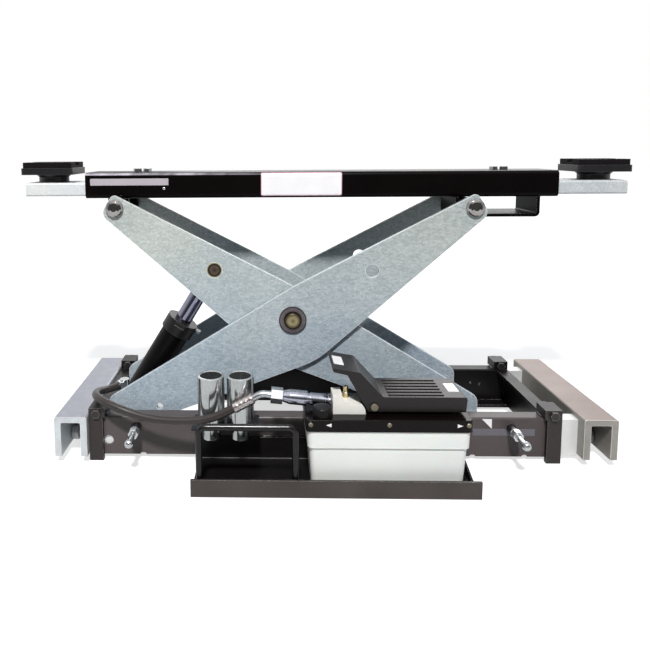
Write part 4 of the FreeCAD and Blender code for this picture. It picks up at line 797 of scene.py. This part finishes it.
# How much of its glow the floor shows to glossy rays
GLOSS_SHARE = 0.35

# Strength of the world's fill, and of the dark room in front as metal shows it
WORLD_FILL, ROOM_DARK = 0.16, 0.10
FILL_TINT = (0.80, 0.90, 1.0)
# The direction's Y at which the room turns dark and light, and its Z at which light comes from above
ROOM_FRONT, ROOM_BACK = -0.70, -0.10
ABOVE_START, ABOVE_FULL = 0.30, 0.70

LAMP_TARGET = Vector((0, 0, 0.25))
KEY_DIRECTION, KEY_DISTANCE = Vector((-0.1, -1.0, 1.26)), 4.5
KEY_SIZE, KEY_POWER = (0.35, 0.35), 245.0
BACK_SPOT, BACK_SIZE, BACK_POWER = (0.6, 2.8, 1.9), (3.0, 1.6), 36.0


def stage_rays(n):
    """Two outputs: 1 for camera and transmission rays, and 1 for glossy rays."""
    rays = n.node("LightPath", {}).outputs
    return n.math("MAXIMUM", rays["Is Camera Ray"], rays["Is Transmission Ray"]), rays["Is Glossy Ray"]


def make_floor():
    """A pale floor that glows white for the camera and still takes the jack's shadow."""
    mesh = bpy.data.meshes.new("floor")
    corners = [(-FLOOR_HALF, FLOOR_FRONT, 0), (FLOOR_HALF, FLOOR_FRONT, 0), (FLOOR_HALF, FLOOR_HALF, 0),
               (-FLOOR_HALF, FLOOR_HALF, 0)]
    mesh.from_pydata(corners, [], [(0, 1, 2, 3)])
    floor = bpy.data.objects.new("floor", mesh)
    bpy.context.scene.collection.objects.link(floor)
    floor.location.z = -FLOOR_DROP
    n = Finish("floor_white")
    direct, glossy = stage_rays(n)
    seen = n.math("MULTIPLY_ADD", glossy, GLOSS_SHARE, direct)
    distance = n.away((0, 0, 0), (1, 1, 0), FLOOR_GLOW_REACH)
    glow = n.math("MULTIPLY", seen, n.spread(distance, FLOOR_GLOW_NEAR, FLOOR_GLOW_FAR))
    n.set(Base_Color=FLOOR_GREY, Roughness=0.9, Specular_IOR_Level=0.0, Emission_Color=WHITE,
          Emission_Strength=glow)
    mesh.materials.append(n.material)


def make_world():
    """White for the camera, a soft cool fill, and a darker room in front for metal to show."""
    world = bpy.data.worlds.new("studio")
    bpy.context.scene.world = world
    world.use_nodes = True
    n = Tree(world.node_tree)
    direct, glossy = stage_rays(n)
    toward = n.axes(n.node("TexCoord", {}).outputs["Generated"])
    room = n.between(toward["Y"], ROOM_FRONT, ROOM_BACK, ROOM_DARK)
    above = n.between(toward["Z"], ABOVE_START, ABOVE_FULL)
    shown = n.math("MAXIMUM", room, above)
    strength = n.mix_numbers(direct, n.mix_numbers(glossy, WORLD_FILL, shown), 1.0)
    tint = n.mix(n.math("MAXIMUM", direct, glossy), FILL_TINT, WHITE)
    background = world.node_tree.nodes["Background"]
    n.feed(background.inputs["Strength"], strength)
    n.feed(background.inputs["Color"], tint)


def area_lamp(name, spot, size, power):
    data = bpy.data.lights.new(name, "AREA")
    data.shape = "RECTANGLE"
    data.size, data.size_y = size
    data.energy = power
    lamp = bpy.data.objects.new(name, data)
    bpy.context.scene.collection.objects.link(lamp)
    lamp.location = Vector(spot)
    lamp.rotation_mode = "QUATERNION"
    lamp.rotation_quaternion = (LAMP_TARGET - Vector(spot)).to_track_quat("-Z", "Y")


def make_lights():
    """A key lamp high in front, as in the photograph, and a wide soft lamp behind."""
    area_lamp("key", LAMP_TARGET + KEY_DIRECTION.normalized() * KEY_DISTANCE, KEY_SIZE, KEY_POWER)
    area_lamp("back", BACK_SPOT, BACK_SIZE, BACK_POWER)


bpy.context.scene.view_settings.view_transform = "Standard"
make_camera()
materials = {**black_paints(), **zinc_plates(), **machined_metals(), **plastics_and_films()}
make_hose(materials)
dress_nodes(materials)
make_beam_film(materials)
make_treadle_film(materials)
make_arrows(materials)
make_rivet(materials)
make_welds(materials)
make_floor()
make_world()
make_lights()
